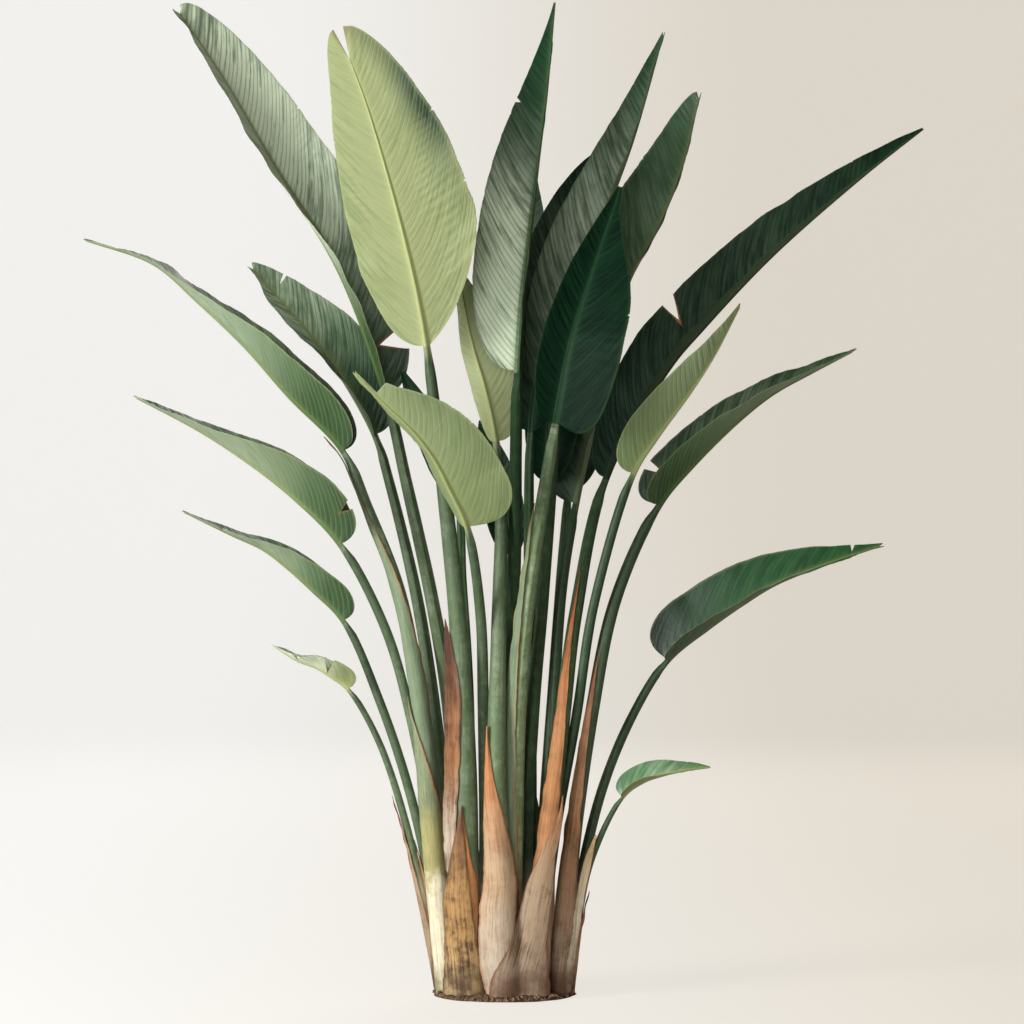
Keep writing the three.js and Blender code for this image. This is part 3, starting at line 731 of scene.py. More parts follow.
@dataclass(frozen=True)
class Sheath:
    """A sheath, an open shell round the outer side of a stalk that narrows to a point.

    on is the leaf that it hugs, to how far up the stalk it reaches, wrap how far round it goes at
    its foot in degrees either way, and look the way that its middle faces. taper is the power with
    which it narrows, over what is added to its gap and thick its thickness at the foot. steps and
    rows are the points across one face and along it.
    """

    name: str
    on: str
    to: float
    wrap: float
    look: Pair
    kind: Papery = Papery.TAN
    taper: float = 1.1
    over: float = 0.0
    thick: float = 1.5
    steps: int = 34
    rows: int = 110

    def skin(self, leaf: Leaf) -> Skin:
        """The shell as one closed grid.

        Half its angle at a height is wrap times the power taper of what is left up to its point, at
        most nearly all the way round, and each margin wanders a little. The outer face keeps a
        clearance and its thickness from the stalk, with long fibres as fine ribs, and the margins
        and the point stand off slightly.

        Args:
            leaf: the leaf that it hugs.

        Returns:
            The closed grid with its surface coordinates and marks.
        """
        seed = seed_of(self.name)
        length = leaf.spine().length()
        start = leaf.blade_start()
        top = self.to / length
        rise = np.linspace(0.0, 1.0, self.rows)
        share = rise * top
        centre, _, side, up = leaf.frame(share)
        reach = leaf.stalk_reach(share / start)[:, None]
        flat = mix(FLATTEN, 1.0, np.minimum(share * 2.0, 1.0))[:, None]
        look = np.array([*self.look, 0.0])
        middle = np.unwrap(np.arctan2(up @ look, side @ look))[:, None]
        x = np.linspace(-1.0, 1.0, self.steps)
        x = np.concatenate([x, x[::-1]])[None, :]
        outer = np.concatenate([np.ones(self.steps), np.zeros(self.steps)])[None, :]
        height = rise * self.to
        edges = [
            1.0 + 0.05 * wander(height, seed + k, 60.0) + 0.035 * wander(height, seed + k + 3, 13.0)
            for k in (1, 2)
        ]
        ragged = np.where(x < 0, edges[0][:, None], edges[1][:, None])
        narrowed = self.wrap * np.maximum(1.0 - rise, SHORT_POINT) ** self.taper
        wrap = np.radians(np.minimum(narrowed, WIDEST_WRAP))
        turn = wrap[:, None] * x * ragged
        angle = middle + turn
        margin = smooth(np.abs(x), 0.72, 1.0)
        arc = turn * reach
        drift = 2.0 * np.sin(height[:, None] / 60.0)
        ribs = 0.12 * np.sin(arc * 1.7 + seed) + 0.09 * np.sin(arc * 3.9 + drift)
        buckle = 0.8 * wander(height, seed + 9, 70.0)[:, None] * np.cos(2.0 * turn + seed)
        lift = margin * (0.6 + 1.2 * (1.0 + wander(height, seed + 13, 48.0))[:, None])
        point = 3.0 * smooth(rise, 0.86, 1.0)[:, None]
        sheet = self.thick * (1.0 - 0.55 * margin) * (1.0 - 0.45 * rise[:, None])
        gap = SHEATH_CLEAR + np.maximum(buckle, -0.8) + lift + point + outer * (sheet + ribs)
        gap = self.over + gap * mix(1.0, 0.6, 1.0 - smooth(rise, 0.0, 0.3))[:, None]
        grid = centre[:, None, :] + side[:, None, :] * ((reach + gap) * np.cos(angle))[..., None]
        grid = grid + up[:, None, :] * ((reach * flat + gap) * np.sin(angle))[..., None]
        frayed = 5.5 + 2.5 * wander(angle[0] * reach[0], seed + 21, 11.0)
        low = 1.0 - smooth(height, 0.0, FRAY_HEIGHT)[:, None]
        grid[..., 2] = mix(grid[..., 2], frayed + grid[..., 2] - STAND, low)
        along = np.broadcast_to(height[:, None], arc.shape)
        place = np.stack([arc + 40.0 * seed, along], axis=-1)
        marks = paper_marks(rise, margin, outer, grid[..., 2])
        return Skin(self.name.replace("sheath", "dry_sheath"), grid, place * MM, marks)


@dataclass(frozen=True)
class Wrap:
    """A broad dried sheath that lies loose over several stalks and narrows to one point.

    left and right are the margins as places (x, z) from the foot up to the point, depth the y of its
    middle at the foot and at the point, hang how far the margins fall back from it, over the leaves
    whose stalks it lies on, and keep how far it stays clear of them. One that lies behind is worked
    out as seen in a mirror, with the sign of y turned round. thick is its thickness at the foot, and
    steps and rows are the points across one face and along it.
    """

    name: str
    left: tuple[Pair, ...]
    right: tuple[Pair, ...]
    depth: Pair
    hang: float
    over: tuple[str, ...]
    kind: Papery
    keep: float = 3.5
    behind: bool = False
    thick: float = 1.6
    steps: int = 56
    rows: int = 150

    def lie(self, x: np.ndarray, z: np.ndarray, y: np.ndarray, leaves: dict[str, Leaf]) -> np.ndarray:
        """Bring the sheet forward to where it lies on the stalks.

        The front of a stalk at a height is its middle less the ellipse's half depth at that x. The
        sheet takes the foremost of its own y and of all these, rounded by a smooth minimum: less k
        times the logarithm of the sum of exponentials of minus y over k.

        Args:
            x: place across, of every point.
            z: height.
            y: the sheet's own depth.
            leaves: every leaf by its name.

        Returns:
            The depth of every point.
        """
        total = np.exp(-y / ROUND_OFF)
        for name in self.over:
            leaf = leaves[name]
            share = np.linspace(0.0, leaf.blade_start(), STALK_ROWS)
            centre = leaf.frame(share)[0]
            radius = leaf.stalk_reach(share / leaf.blade_start())
            mid_x, mid_y, reach = (
                np.interp(z, centre[:, 2], value)
                for value in (centre[:, 0], centre[:, 1], radius + self.keep)
            )
            mid_y = -mid_y if self.behind else mid_y
            front = mid_y - np.sqrt(np.maximum(reach**2 - (x - mid_x) ** 2, 0.0)) * 0.9
            total = total + np.exp(-front / ROUND_OFF)
        return -ROUND_OFF * np.log(total)

    def skin(self, leaves: dict[str, Leaf]) -> Skin:
        """The sheet as one closed grid.

        A row goes straight from the left margin to the right one and falls back with the square of
        the way from its middle; long waves buckle it. Both faces stand half the thickness off it
        along the normal, which is the cross product of the grid's two gradients.

        Args:
            leaves: every leaf by its name.

        Returns:
            The closed grid with its surface coordinates and marks.
        """
        seed = seed_of(self.name)
        rise = np.linspace(0.0, 1.0, self.rows)
        ends = [
            Spine(np.array([(x, 0.0, z) for x, z in edge], float)).read(rise)[0]
            for edge in (self.left, self.right)
        ]
        x = np.linspace(-1.0, 1.0, self.steps)[None, :]
        height = 0.5 * (ends[0][:, 2] + ends[1][:, 2])
        for end, sign in zip(ends, (-1.0, 1.0)):
            own = seed + int(sign)
            ragged = wander(height, own + 2, 45.0) + 0.5 * wander(height, own + 6, 11.0)
            end[:, 0] += sign * (0.6 + 1.6 * ragged * (1.0 - rise))
        share = 0.5 * (x + 1.0)
        across = mix(ends[0][:, None, 0], ends[1][:, None, 0], share)
        z = mix(ends[0][:, None, 2], ends[1][:, None, 2], share)
        narrow = (1.0 - rise)[:, None]
        y = mix(self.depth[0], self.depth[1], rise)[:, None] + self.hang * x**2 * (0.35 + 0.65 * narrow)
        y = y + 1.6 * wander(height, seed + 9, 80.0)[:, None] * np.sin(2.4 * x + seed) * narrow**0.5
        low = 1.0 - smooth(height, 0.0, FRAY_HEIGHT)[:, None]
        z = z + low * 2.5 * wander(across[0] + 300.0, seed + 21, 11.0)[None, :]
        y = self.lie(across, z, y, leaves)
        sheet = np.stack([across, y, z], axis=-1)
        normal = np.cross(np.gradient(sheet, axis=1), np.gradient(sheet, axis=0))
        normal[-2:] = normal[-3]
        normal /= np.linalg.norm(normal, axis=-1, keepdims=True)
        margin = smooth(np.abs(x), 0.8, 1.0) * np.ones_like(across)
        arc = across - across.mean(axis=1, keepdims=True)
        drift = 2.0 * np.sin(height[:, None] / 60.0)
        ribs = 0.14 * np.sin(arc * 1.9 + seed) + 0.1 * np.sin(arc * 4.1 + drift)
        thick = self.thick * (1.0 - 0.6 * margin) * (1.0 - 0.4 * rise[:, None])
        outer = sheet + normal * (0.5 * thick + ribs * narrow)[..., None]
        inner = sheet - normal * (0.5 * thick)[..., None]
        grid = np.concatenate([outer, inner[:, ::-1]], axis=1)
        grid[..., 1] *= -1.0 if self.behind else 1.0
        arc, margin = (np.concatenate([value, value[:, ::-1]], axis=1) for value in (arc, margin))
        is_outer = np.concatenate([np.ones(self.steps), np.zeros(self.steps)])
        place = np.stack([arc + 40.0 * seed, np.broadcast_to(height[:, None], arc.shape)], axis=-1)
        marks = paper_marks(rise, margin, is_outer, grid[..., 2])
        return Skin(self.name, grid, place * MM, marks)


@dataclass(frozen=True)
class Crown:
    """The disc of cut roots and soil that the clump stands on.

    sectors, top_rings, rim_rings and under_rings are the points round it and over it, and stubs the
    cut roots that stick out of its rim.
    """

    radius: float = CROWN_RADIUS
    height: float = CROWN_HEIGHT
    sectors: int = 240
    top_rings: int = 24
    rim_rings: int = 12
    under_rings: int = 8
    stubs: int = 150

    def rim(self, angle: np.ndarray) -> np.ndarray:
        """Radius of the rim: a circle with three waves of 5, 11 and 17 turns."""
        ragged = np.sin(5 * angle + 0.6) + 0.6 * np.sin(11 * angle + 2) + 0.4 * np.cos(17 * angle)
        return self.radius + CROWN_RAGGED * ragged / 2

    def skin(self) -> Skin:
        """The disc as one closed grid, from the middle of its top over the rim to the underside.

        The top falls to the rim as a power of a cosine; crumbs of soil are random waves of the arc
        and the radius added along both, less towards the flat underside.

        Returns:
            The closed grid.
        """
        angle = np.linspace(0.0, 2 * np.pi, self.sectors, endpoint=False)
        edge = np.linspace(0.0, np.pi / 2, self.rim_rings)
        top = np.linspace(0.02, 0.86, self.top_rings)
        under = np.linspace(0.97, 0.02, self.under_rings)
        inward = np.concatenate([top, 0.86 + 0.14 * np.sin(edge), under])
        z = np.concatenate([np.ones(self.top_rings), np.cos(edge) ** 1.3, np.zeros(self.under_rings)])
        z = z * self.height
        radius = inward[:, None] * self.rim(angle)[None, :]
        arc = angle * self.radius
        rough = wander(arc, 5, 7.0)[None, :] * wander(radius + z[:, None] * 3.0, 6, 9.0)
        fine = wander(arc + 13.0, 7, 3.0)[None, :] * wander(radius * 1.3 - z[:, None] * 4.0, 8, 3.5)
        crumbs = 1.6 * rough + 0.9 * fine
        free = smooth(z, 0.0, 4.0)[:, None]
        radius = radius + crumbs * free * smooth(inward, 0.8, 0.97)[:, None] * 1.5
        height = z[:, None] + (crumbs - 0.6) * free * (z > 0.5)[:, None]
        x, y = radius * np.cos(angle), radius * np.sin(angle)
        grid = np.stack([x, y, np.maximum(height, 0.0)], axis=-1)
        place = np.stack(np.broadcast_arrays(arc[None, :], radius), axis=-1)
        marks = {"soil": np.zeros((*grid.shape[:2], 4))}
        return Skin("crown_disc", grid, place * MM, marks)

    def root_stubs(self) -> Skin:
        """Cut roots round the rim: tapered tubes that leave it and bend down.

        A stub runs outwards by its length and down by its drop times the square of the way along,
        with a round section that narrows to seven tenths.

        Returns:
            All the stubs as closed shells in one grid.
        """
        rng = np.random.default_rng(41)
        count, rows, sides = self.stubs, 6, 8
        angle = rng.uniform(0, 2 * np.pi, count)[:, None, None]
        way = np.linspace(0.0, 1.0, rows)[None, :, None]
        turn = (2 * np.pi * np.arange(sides) / sides)[None, None, :]
        length = rng.uniform(3.0, 8.5, count)[:, None, None]
        thick = rng.uniform(0.7, 2.1, count)[:, None, None] * (1.0 - 0.3 * way)
        start = rng.uniform(3.0, 13.0, count)[:, None, None]
        drift = rng.uniform(-5.0, 5.0, count)[:, None, None] * way
        drop = np.minimum(rng.uniform(0.0, 5.0, count)[:, None, None], start - 1.5)
        radius = self.rim(angle) - 5.0 + (length + 2.0) * way + thick * 0.3 * np.sin(turn)
        across = drift + thick * np.cos(turn)
        height = start - drop * way**2 + thick * np.sin(turn)
        x = radius * np.cos(angle) - across * np.sin(angle)
        y = radius * np.sin(angle) + across * np.cos(angle)
        grid = np.stack([x, y, np.maximum(height + 0 * x, 0.2)], axis=-1)
        place = np.zeros((*grid.shape[:3], 2))
        paleness = rng.uniform(0.3, 1.0, (count, 1, 1, 1))
        marks = {"soil": np.broadcast_to(paleness, (*grid.shape[:3], 4))}
        return Skin("crown_roots", grid, place, marks)


def srgb(red: int, green: int, blue: int) -> Triple:
    """A screen colour as linear light: the power 2.4 of its offset share, or a straight low end.

    Args:
        red: its red, 0 to 255.
        green: its green.
        blue: its blue.

    Returns:
        The same three in linear light, 0 to 1.
    """
    shares = (np.array([red, green, blue]) / 255.0 + 0.055) / 1.055
    low = np.array([red, green, blue]) / 255.0 / 12.92
    linear = np.where(shares > 0.0935, shares**2.4, low)
    return tuple(float(value) for value in linear)


class Graph:
    """Puts nodes into a tree and joins them."""

    def __init__(self, tree: Tree) -> None:
        """Start on a tree."""
        self.tree = tree

    def feed(self, socket: Socket, value: Value) -> None:
        """Join an input to another socket, or set it to a constant.

        Args:
            socket: the input.
            value: the socket to join it to, or a number, a vector or a colour.
        """
        if isinstance(value, bpy.types.NodeSocket):
            self.tree.links.new(value, socket)
        elif socket.type == "RGBA" and len(value) == 3:
            socket.default_value = (*value, 1.0)
        else:
            socket.default_value = value

    def add(self, kind: str, inputs: dict[str | int, Value] | None = None, **settings: object) -> Node:
        """A new node, with its settings made and its inputs fed.

        Args:
            kind: what kind of node it is.
            inputs: what its inputs are fed, by their names or numbers.
            settings: its settings by name.

        Returns:
            The node.
        """
        node = self.tree.nodes.new(kind)
        for name, value in settings.items():
            setattr(node, name, value)
        for name, value in (inputs or {}).items():
            self.feed(node.inputs[name], value)
        return node

    def maths(self, operation: str, a: Value, b: Value = 0.0) -> Socket:
        """One operation on two values."""
        return self.add("ShaderNodeMath", {0: a, 1: b}, operation=operation).outputs[0]

    def ease(self, value: Value, low: float, high: float, first: float = 0.0, last: float = 1.0) -> Socket:
        """Ease from first to last while the value goes from low to high."""
        inputs = {"Value": value, "From Min": low, "From Max": high, "To Min": first, "To Max": last}
        return self.add("ShaderNodeMapRange", inputs, interpolation_type="SMOOTHSTEP").outputs[0]

    def blend(self, share: Value, a: Value, b: Value) -> Socket:
        """Mix two colours: the share of the way from a to b."""
        return self.add("ShaderNodeMix", {0: share, 6: a, 7: b}, data_type="RGBA").outputs[2]

    def noise(self, scale: float, vector: Value, detail: float = 2.0, rough: float = 0.5) -> Socket:
        """Noise over a place, from 0 to 1."""
        inputs = {"Vector": vector, "Scale": scale, "Detail": detail, "Roughness": rough}
        return self.add("ShaderNodeTexNoise", inputs).outputs[0]

    def vector(self, x: Value, y: Value, z: Value = 0.0) -> Socket:
        """A vector of three values."""
        return self.add("ShaderNodeCombineXYZ", {0: x, 1: y, 2: z}).outputs[0]

    def mark(self, name: str) -> tuple[Socket, ...]:
        """Read a piece's mark.

        Args:
            name: the mark's name.

        Returns:
            Its four values.
        """
        source = self.add("ShaderNodeAttribute", attribute_name=name)
        parts = self.add("ShaderNodeSeparateColor", {0: source.outputs["Color"]})
        return (*parts.outputs[:3], source.outputs["Alpha"])

    def surface(self) -> tuple[Socket, Socket]:
        """Read the surface coordinates of a piece.

        Returns:
            The distances across it and along it, in metres.
        """
        source = self.add("ShaderNodeUVMap", uv_map="surface")
        parts = self.add("ShaderNodeSeparateXYZ", {0: source.outputs[0]})
        return parts.outputs[0], parts.outputs[1]

    def place(self) -> Socket:
        """The place on the object, in metres."""
        return self.add("ShaderNodeTexCoord").outputs["Object"]

    def effect(self, tree: Tree, **inputs: Value) -> Sockets:
        """Place a shared effect and feed it.

        Args:
            tree: the effect's own tree.
            inputs: its inputs by name.

        Returns:
            Its outputs by name.
        """
        node = self.add("ShaderNodeGroup", node_tree=tree)
        for name, value in inputs.items():
            self.feed(node.inputs[name], value)
        return {socket.name: socket for socket in node.outputs}


def new_effect(
    name: str, inputs: tuple[str, ...], outputs: tuple[str, ...]
) -> tuple[Tree, Graph, Sockets, Node]:
    """An empty shader node group.

    Args:
        name: its name.
        inputs: names of its inputs; one that ends in Place is a vector, the others are numbers.
        outputs: names of its number outputs.

    Returns:
        The tree, a graph on it, its input sockets by name and its output node.
    """
    tree = bpy.data.node_groups.new(name, "ShaderNodeTree")
    for title in inputs:
        kind = "NodeSocketVector" if title.endswith("Place") else "NodeSocketFloat"
        tree.interface.new_socket(name=title, in_out="INPUT", socket_type=kind)
    for title in outputs:
        tree.interface.new_socket(name=title, in_out="OUTPUT", socket_type="NodeSocketFloat")
    graph = Graph(tree)
    source = graph.add("NodeGroupInput")
    return tree, graph, {s.name: s for s in source.outputs if s.name}, graph.add("NodeGroupOutput")


@dataclass(frozen=True)
class Effects:
    """The shader node groups that the finishes share."""

    veins: Tree
    fibres: Tree
    mottle: Tree

    @classmethod
    def make(cls) -> Effects:
        """Build each effect once."""
        return cls(cls.side_veins(), cls.long_fibres(), cls.weathering())

    @staticmethod
    def side_veins() -> Tree:
        """Side veins: sharp lines at a spacing, hair veins between them and slow bands.

        A line is the fifth power of a raised sine of the vein's foot over the spacing, with the
        foot shifted by slow noise so that no two spaces are alike.

        Returns:
            The tree, with the outputs Line, Hair and Band.
        """
        tree, g, at, out = new_effect(
            "side veins", ("Along", "Across", "Spacing"), ("Line", "Hair", "Band")
        )
        across = g.maths("MULTIPLY", at["Across"], 9.0)
        slow = g.noise(1.0, g.vector(across, g.maths("MULTIPLY", at["Along"], 22.0)), detail=1.0)
        shift = g.maths("MULTIPLY", g.maths("SUBTRACT", slow, 0.5), 0.012)
        foot = g.maths("DIVIDE", g.maths("ADD", at["Along"], shift), at["Spacing"])
        wave = g.maths("SINE", g.maths("MULTIPLY", foot, 2 * math.pi))
        raised = g.maths("MULTIPLY_ADD", wave, 0.5)
        raised.node.inputs[2].default_value = 0.5
        g.feed(out.inputs["Line"], g.maths("POWER", raised, 5.0))
        fine = g.vector(g.maths("MULTIPLY", foot, 6.5), g.maths("MULTIPLY", at["Across"], 28.0))
        broad = g.vector(g.maths("MULTIPLY", foot, 0.8), g.maths("MULTIPLY", at["Across"], 15.0))
        g.feed(out.inputs["Hair"], g.noise(1.0, fine, detail=2.0, rough=0.7))
        g.feed(out.inputs["Band"], g.noise(1.0, broad, detail=3.0, rough=0.62))
        return tree

    @staticmethod
    def long_fibres() -> Tree:
        """Fibres of a stalk or sheath: noise with a scale of its own along and across the surface.

        Streaks and threads are drawn out some 33 and 42 times along it. Ticks are short and lie
        across it.

        Returns:
            The tree, with the outputs Streak, Thread and Tick.
        """
        tree, g, at, out = new_effect("long fibres", ("Along", "Across"), ("Streak", "Thread", "Tick"))
        wide, slim, short = (
            g.vector(g.maths("MULTIPLY", at["Across"], across), g.maths("MULTIPLY", at["Along"], along))
            for across, along in ((230.0, 7.0), (1100.0, 26.0), (120.0, 900.0))
        )
        g.feed(out.inputs["Streak"], g.noise(1.0, wide, detail=3.0, rough=0.6))
        g.feed(out.inputs["Thread"], g.noise(1.0, slim, detail=2.0, rough=0.6))
        g.feed(out.inputs["Tick"], g.noise(1.0, short, detail=2.0, rough=0.5))
        return tree

    @staticmethod
    def weathering() -> Tree:
        """Weathering: broad patches, blots and small specks over the place on the piece.

        Returns:
            The tree, with the outputs Patch, Blot and Speck.
        """
        tree, g, at, out = new_effect("weathering", ("Place",), ("Patch", "Blot", "Speck"))
        g.feed(out.inputs["Patch"], g.noise(14.0, at["Place"], detail=4.0, rough=0.62))
        g.feed(out.inputs["Blot"], g.noise(38.0, at["Place"], detail=5.0, rough=0.7))
        g.feed(out.inputs["Speck"], g.noise(150.0, at["Place"], detail=3.0, rough=0.6))
        return tree


def new_material(name: str) -> tuple[bpy.types.Material, Graph, Node]:
    """An empty material.

    Args:
        name: its name.

    Returns:
        The material, a graph on it and its Principled shader.
    """
    material = bpy.data.materials.new(name)
    material.use_nodes = True
    material.node_tree.nodes.clear()
    graph = Graph(material.node_tree)
    shader = graph.add("ShaderNodeBsdfPrincipled")
    graph.add("ShaderNodeOutputMaterial", {"Surface": shader.outputs[0]})
    return material, graph, shader


@dataclass(frozen=True)
class LeafFinish:
    """Living leaf: waxy green with a painted sheen above, matt and paler below, yellow green midrib.

    spacing is the distance between its side veins in metres, and gloss the roughness below and on
    the stalk, and the one above.
    """

    name: str = "living leaf"
    above_deep: Triple = srgb(6, 38, 22)
    above_fresh: Triple = srgb(38, 98, 50)
    # The pale wax colour, also laid on the upper face as a painted sheen.
    wax: Triple = srgb(210, 224, 198)
    below_dull: Triple = srgb(58, 88, 54)
    below_fresh: Triple = srgb(128, 137, 94)
    rib_deep: Triple = srgb(70, 98, 52)
    rib_fresh: Triple = srgb(158, 166, 112)
    stem_deep: Triple = srgb(20, 50, 28)
    stem_grey: Triple = srgb(122, 141, 102)
    foot_pale: Triple = srgb(214, 200, 168)
    foot_rose: Triple = srgb(176, 144, 120)
    dried: Triple = srgb(156, 114, 70)
    burnt: Triple = srgb(92, 62, 38)
    spacing: float = 0.0145
    margin: Triple = srgb(150, 158, 112)
    gloss: Pair = (0.5, 0.33)
    specular: float = 0.32

    def blade_colour(self, g: Graph, veins: Sockets, weather: Sockets, marks: Sockets) -> Socket:
        """Colour of the blade: above and below with their veins, the midrib and the margin.

        The upper face carries a painted sheen, and both faces painted shade towards the margins.

        Args:
            g: the material's graph.
            veins: outputs of the side veins.
            weather: outputs of the weathering.
            marks: the piece's marks by name.

        Returns:
            The colour.
        """
        fresh = marks["tone"]
        band, line, hair = veins["Band"], veins["Line"], veins["Hair"]
        green = g.blend(fresh, self.above_deep, self.above_fresh)
        lighter = g.blend(g.ease(band, 0.35, 0.7, 0.0, 0.4), green, self.above_fresh)
        lighter = g.blend(g.ease(weather["Patch"], 0.45, 0.75, 0.0, 0.3), lighter, self.above_deep)
        # gloss is a painted sheen: the pale wax colour laid over the upper face in bands.
        gloss = g.maths("MULTIPLY", marks["wax"], g.ease(band, 0.34, 0.62, 0.34, 1.0))
        gloss = g.maths("MULTIPLY", gloss, g.ease(weather["Patch"], 0.3, 0.6, 0.7, 1.1))
        gloss = g.maths("MULTIPLY", gloss, g.ease(hair, 0.3, 0.7, 0.75, 1.0))
        # Darker towards the foot of the blade, and painted shade towards its margins.
        lighter = g.blend(g.maths("MULTIPLY", marks["foot"], 0.6), lighter, self.above_deep)
        above = g.blend(g.maths("MINIMUM", gloss, 0.92), lighter, self.wax)
        above = g.blend(g.maths("MULTIPLY", line, 0.4), above, green)
        dull = g.blend(g.ease(weather["Patch"], 0.35, 0.7, 0.0, 0.35), self.below_dull, self.rib_deep)
        below = g.blend(g.ease(fresh, 0.3, 1.0), dull, self.below_fresh)
        # Below too: darker towards the foot of the blade, and painted shade towards its margins.
        below = g.blend(g.maths("MULTIPLY", marks["foot"], 0.62), below, self.above_deep)
        frost = g.maths("MULTIPLY", marks["wax"], g.ease(band, 0.3, 0.65, 0.45, 0.8))
        below = g.blend(frost, below, self.wax)
        # Darker bands towards the margin below: partly the leaf's own mottling, partly painted shade in the
        # troughs between the veins.
        outer = g.ease(g.maths("ABSOLUTE", marks["across"]), 0.008, 0.075, 0.16, 0.5)
        below = g.blend(g.maths("MULTIPLY", g.ease(band, 0.42, 0.66), outer), below, self.rib_deep)
        below = g.blend(g.maths("MULTIPLY", line, 0.14), below, self.rib_fresh)
        below = g.blend(g.ease(hair, 0.5, 0.72, 0.0, 0.14), below, self.rib_deep)
        blade = g.blend(marks["above"], below, above)
        rib = g.blend(fresh, self.rib_deep, self.rib_fresh)
        blade = g.blend(g.maths("MULTIPLY", marks["rib"], 0.85), blade, rib)
        return g.blend(g.maths("MULTIPLY", marks["edge"], 0.35), blade, self.margin)

    def stem_colour(self, g: Graph, fibres: Sockets, weather: Sockets, marks: Sockets) -> Socket:
        """Colour of the stalk: grey green wax with long streaks, paling to its rosy foot.

        Args:
            g: the material's graph.
            fibres: outputs of the long fibres.
            weather: outputs of the weathering.
            marks: the piece's marks by name.

        Returns:
            The colour.
        """
        stem = g.blend(marks["wax"], self.stem_deep, self.stem_grey)
        stem = g.blend(g.ease(fibres["Streak"], 0.35, 0.7, 0.0, 0.5), stem, self.stem_deep)
        stem = g.blend(g.ease(fibres["Thread"], 0.5, 0.8, 0.0, 0.25), stem, self.stem_grey)
        bloom = g.maths("MULTIPLY", weather["Blot"], g.maths("MULTIPLY", fibres["Streak"], 4.0))
        bloom = g.maths("MULTIPLY", g.ease(bloom, 0.85, 1.5), marks["wax"])
        stem = g.blend(g.maths("MULTIPLY", bloom, 0.3), stem, self.wax)
        foot = g.blend(g.ease(weather["Patch"], 0.38, 0.66), self.foot_pale, self.foot_rose)
        foot = g.blend(g.ease(fibres["Streak"], 0.52, 0.75, 0.0, 0.45), foot, self.dried)
        return g.blend(g.ease(marks["foot"], 0.25, 0.85), stem, foot)

    def build(self, effects: Effects) -> bpy.types.Material:
        """The material, which reads the marks parts and growth, with its painted shade and sheen, and the
        surface coordinates.

        Args:
            effects: the shared node groups.

        Returns:
            The material.
        """
        material, g, shader = new_material(self.name)
        across, along = g.surface()
        above, rib, dry, stem = g.mark("parts")
        foot, edge, tone, wax = g.mark("growth")
        marks = {
            "above": above, "rib": rib, "edge": edge, "tone": tone, "wax": wax, "foot": foot,
            "across": across,
        }
        veins = g.effect(effects.veins, Along=along, Across=across, Spacing=self.spacing)
        fibres = g.effect(effects.fibres, Along=along, Across=across)
        weather = g.effect(effects.mottle, Place=g.place())
        colour = g.blend(
            stem,
            self.blade_colour(g, veins, weather, marks),
            self.stem_colour(g, fibres, weather, marks),
        )
        burnt = g.blend(weather["Speck"], self.dried, self.burnt)
        colour = g.blend(g.maths("MULTIPLY", dry, 0.95), colour, burnt)
        g.feed(shader.inputs["Base Color"], colour)
        waxy = g.maths("MULTIPLY", above, g.maths("SUBTRACT", 1.0, stem))
        rough = g.ease(veins["Band"], 0.3, 0.7, 0.06, -0.04)
        rough = g.maths("ADD", g.ease(waxy, 0.0, 1.0, *self.gloss), rough)
        shader.inputs["Specular IOR Level"].default_value = self.specular
        rough = g.maths("ADD", rough, g.maths("MULTIPLY", dry, 0.3))
        g.feed(shader.inputs["Roughness"], rough)
        lines = g.maths("MULTIPLY", veins["Line"], -0.5)
        sheet = g.maths("ADD", lines, g.maths("MULTIPLY", veins["Hair"], 0.7))
        sheet = g.maths("MULTIPLY", sheet, g.maths("SUBTRACT", 1.0, g.maths("MAXIMUM", stem, rib)))
        bark = g.maths("ADD", fibres["Thread"], g.maths("MULTIPLY", fibres["Tick"], 0.25))
        bark = g.maths("MULTIPLY", g.maths("MULTIPLY", bark, stem), 0.3)
        height = g.maths("ADD", sheet, bark)
        bump = g.add("ShaderNodeBump", {"Height": height, "Distance": 0.0007, "Strength": 0.9})
        g.feed(shader.inputs["Normal"], bump.outputs[0])
        return material


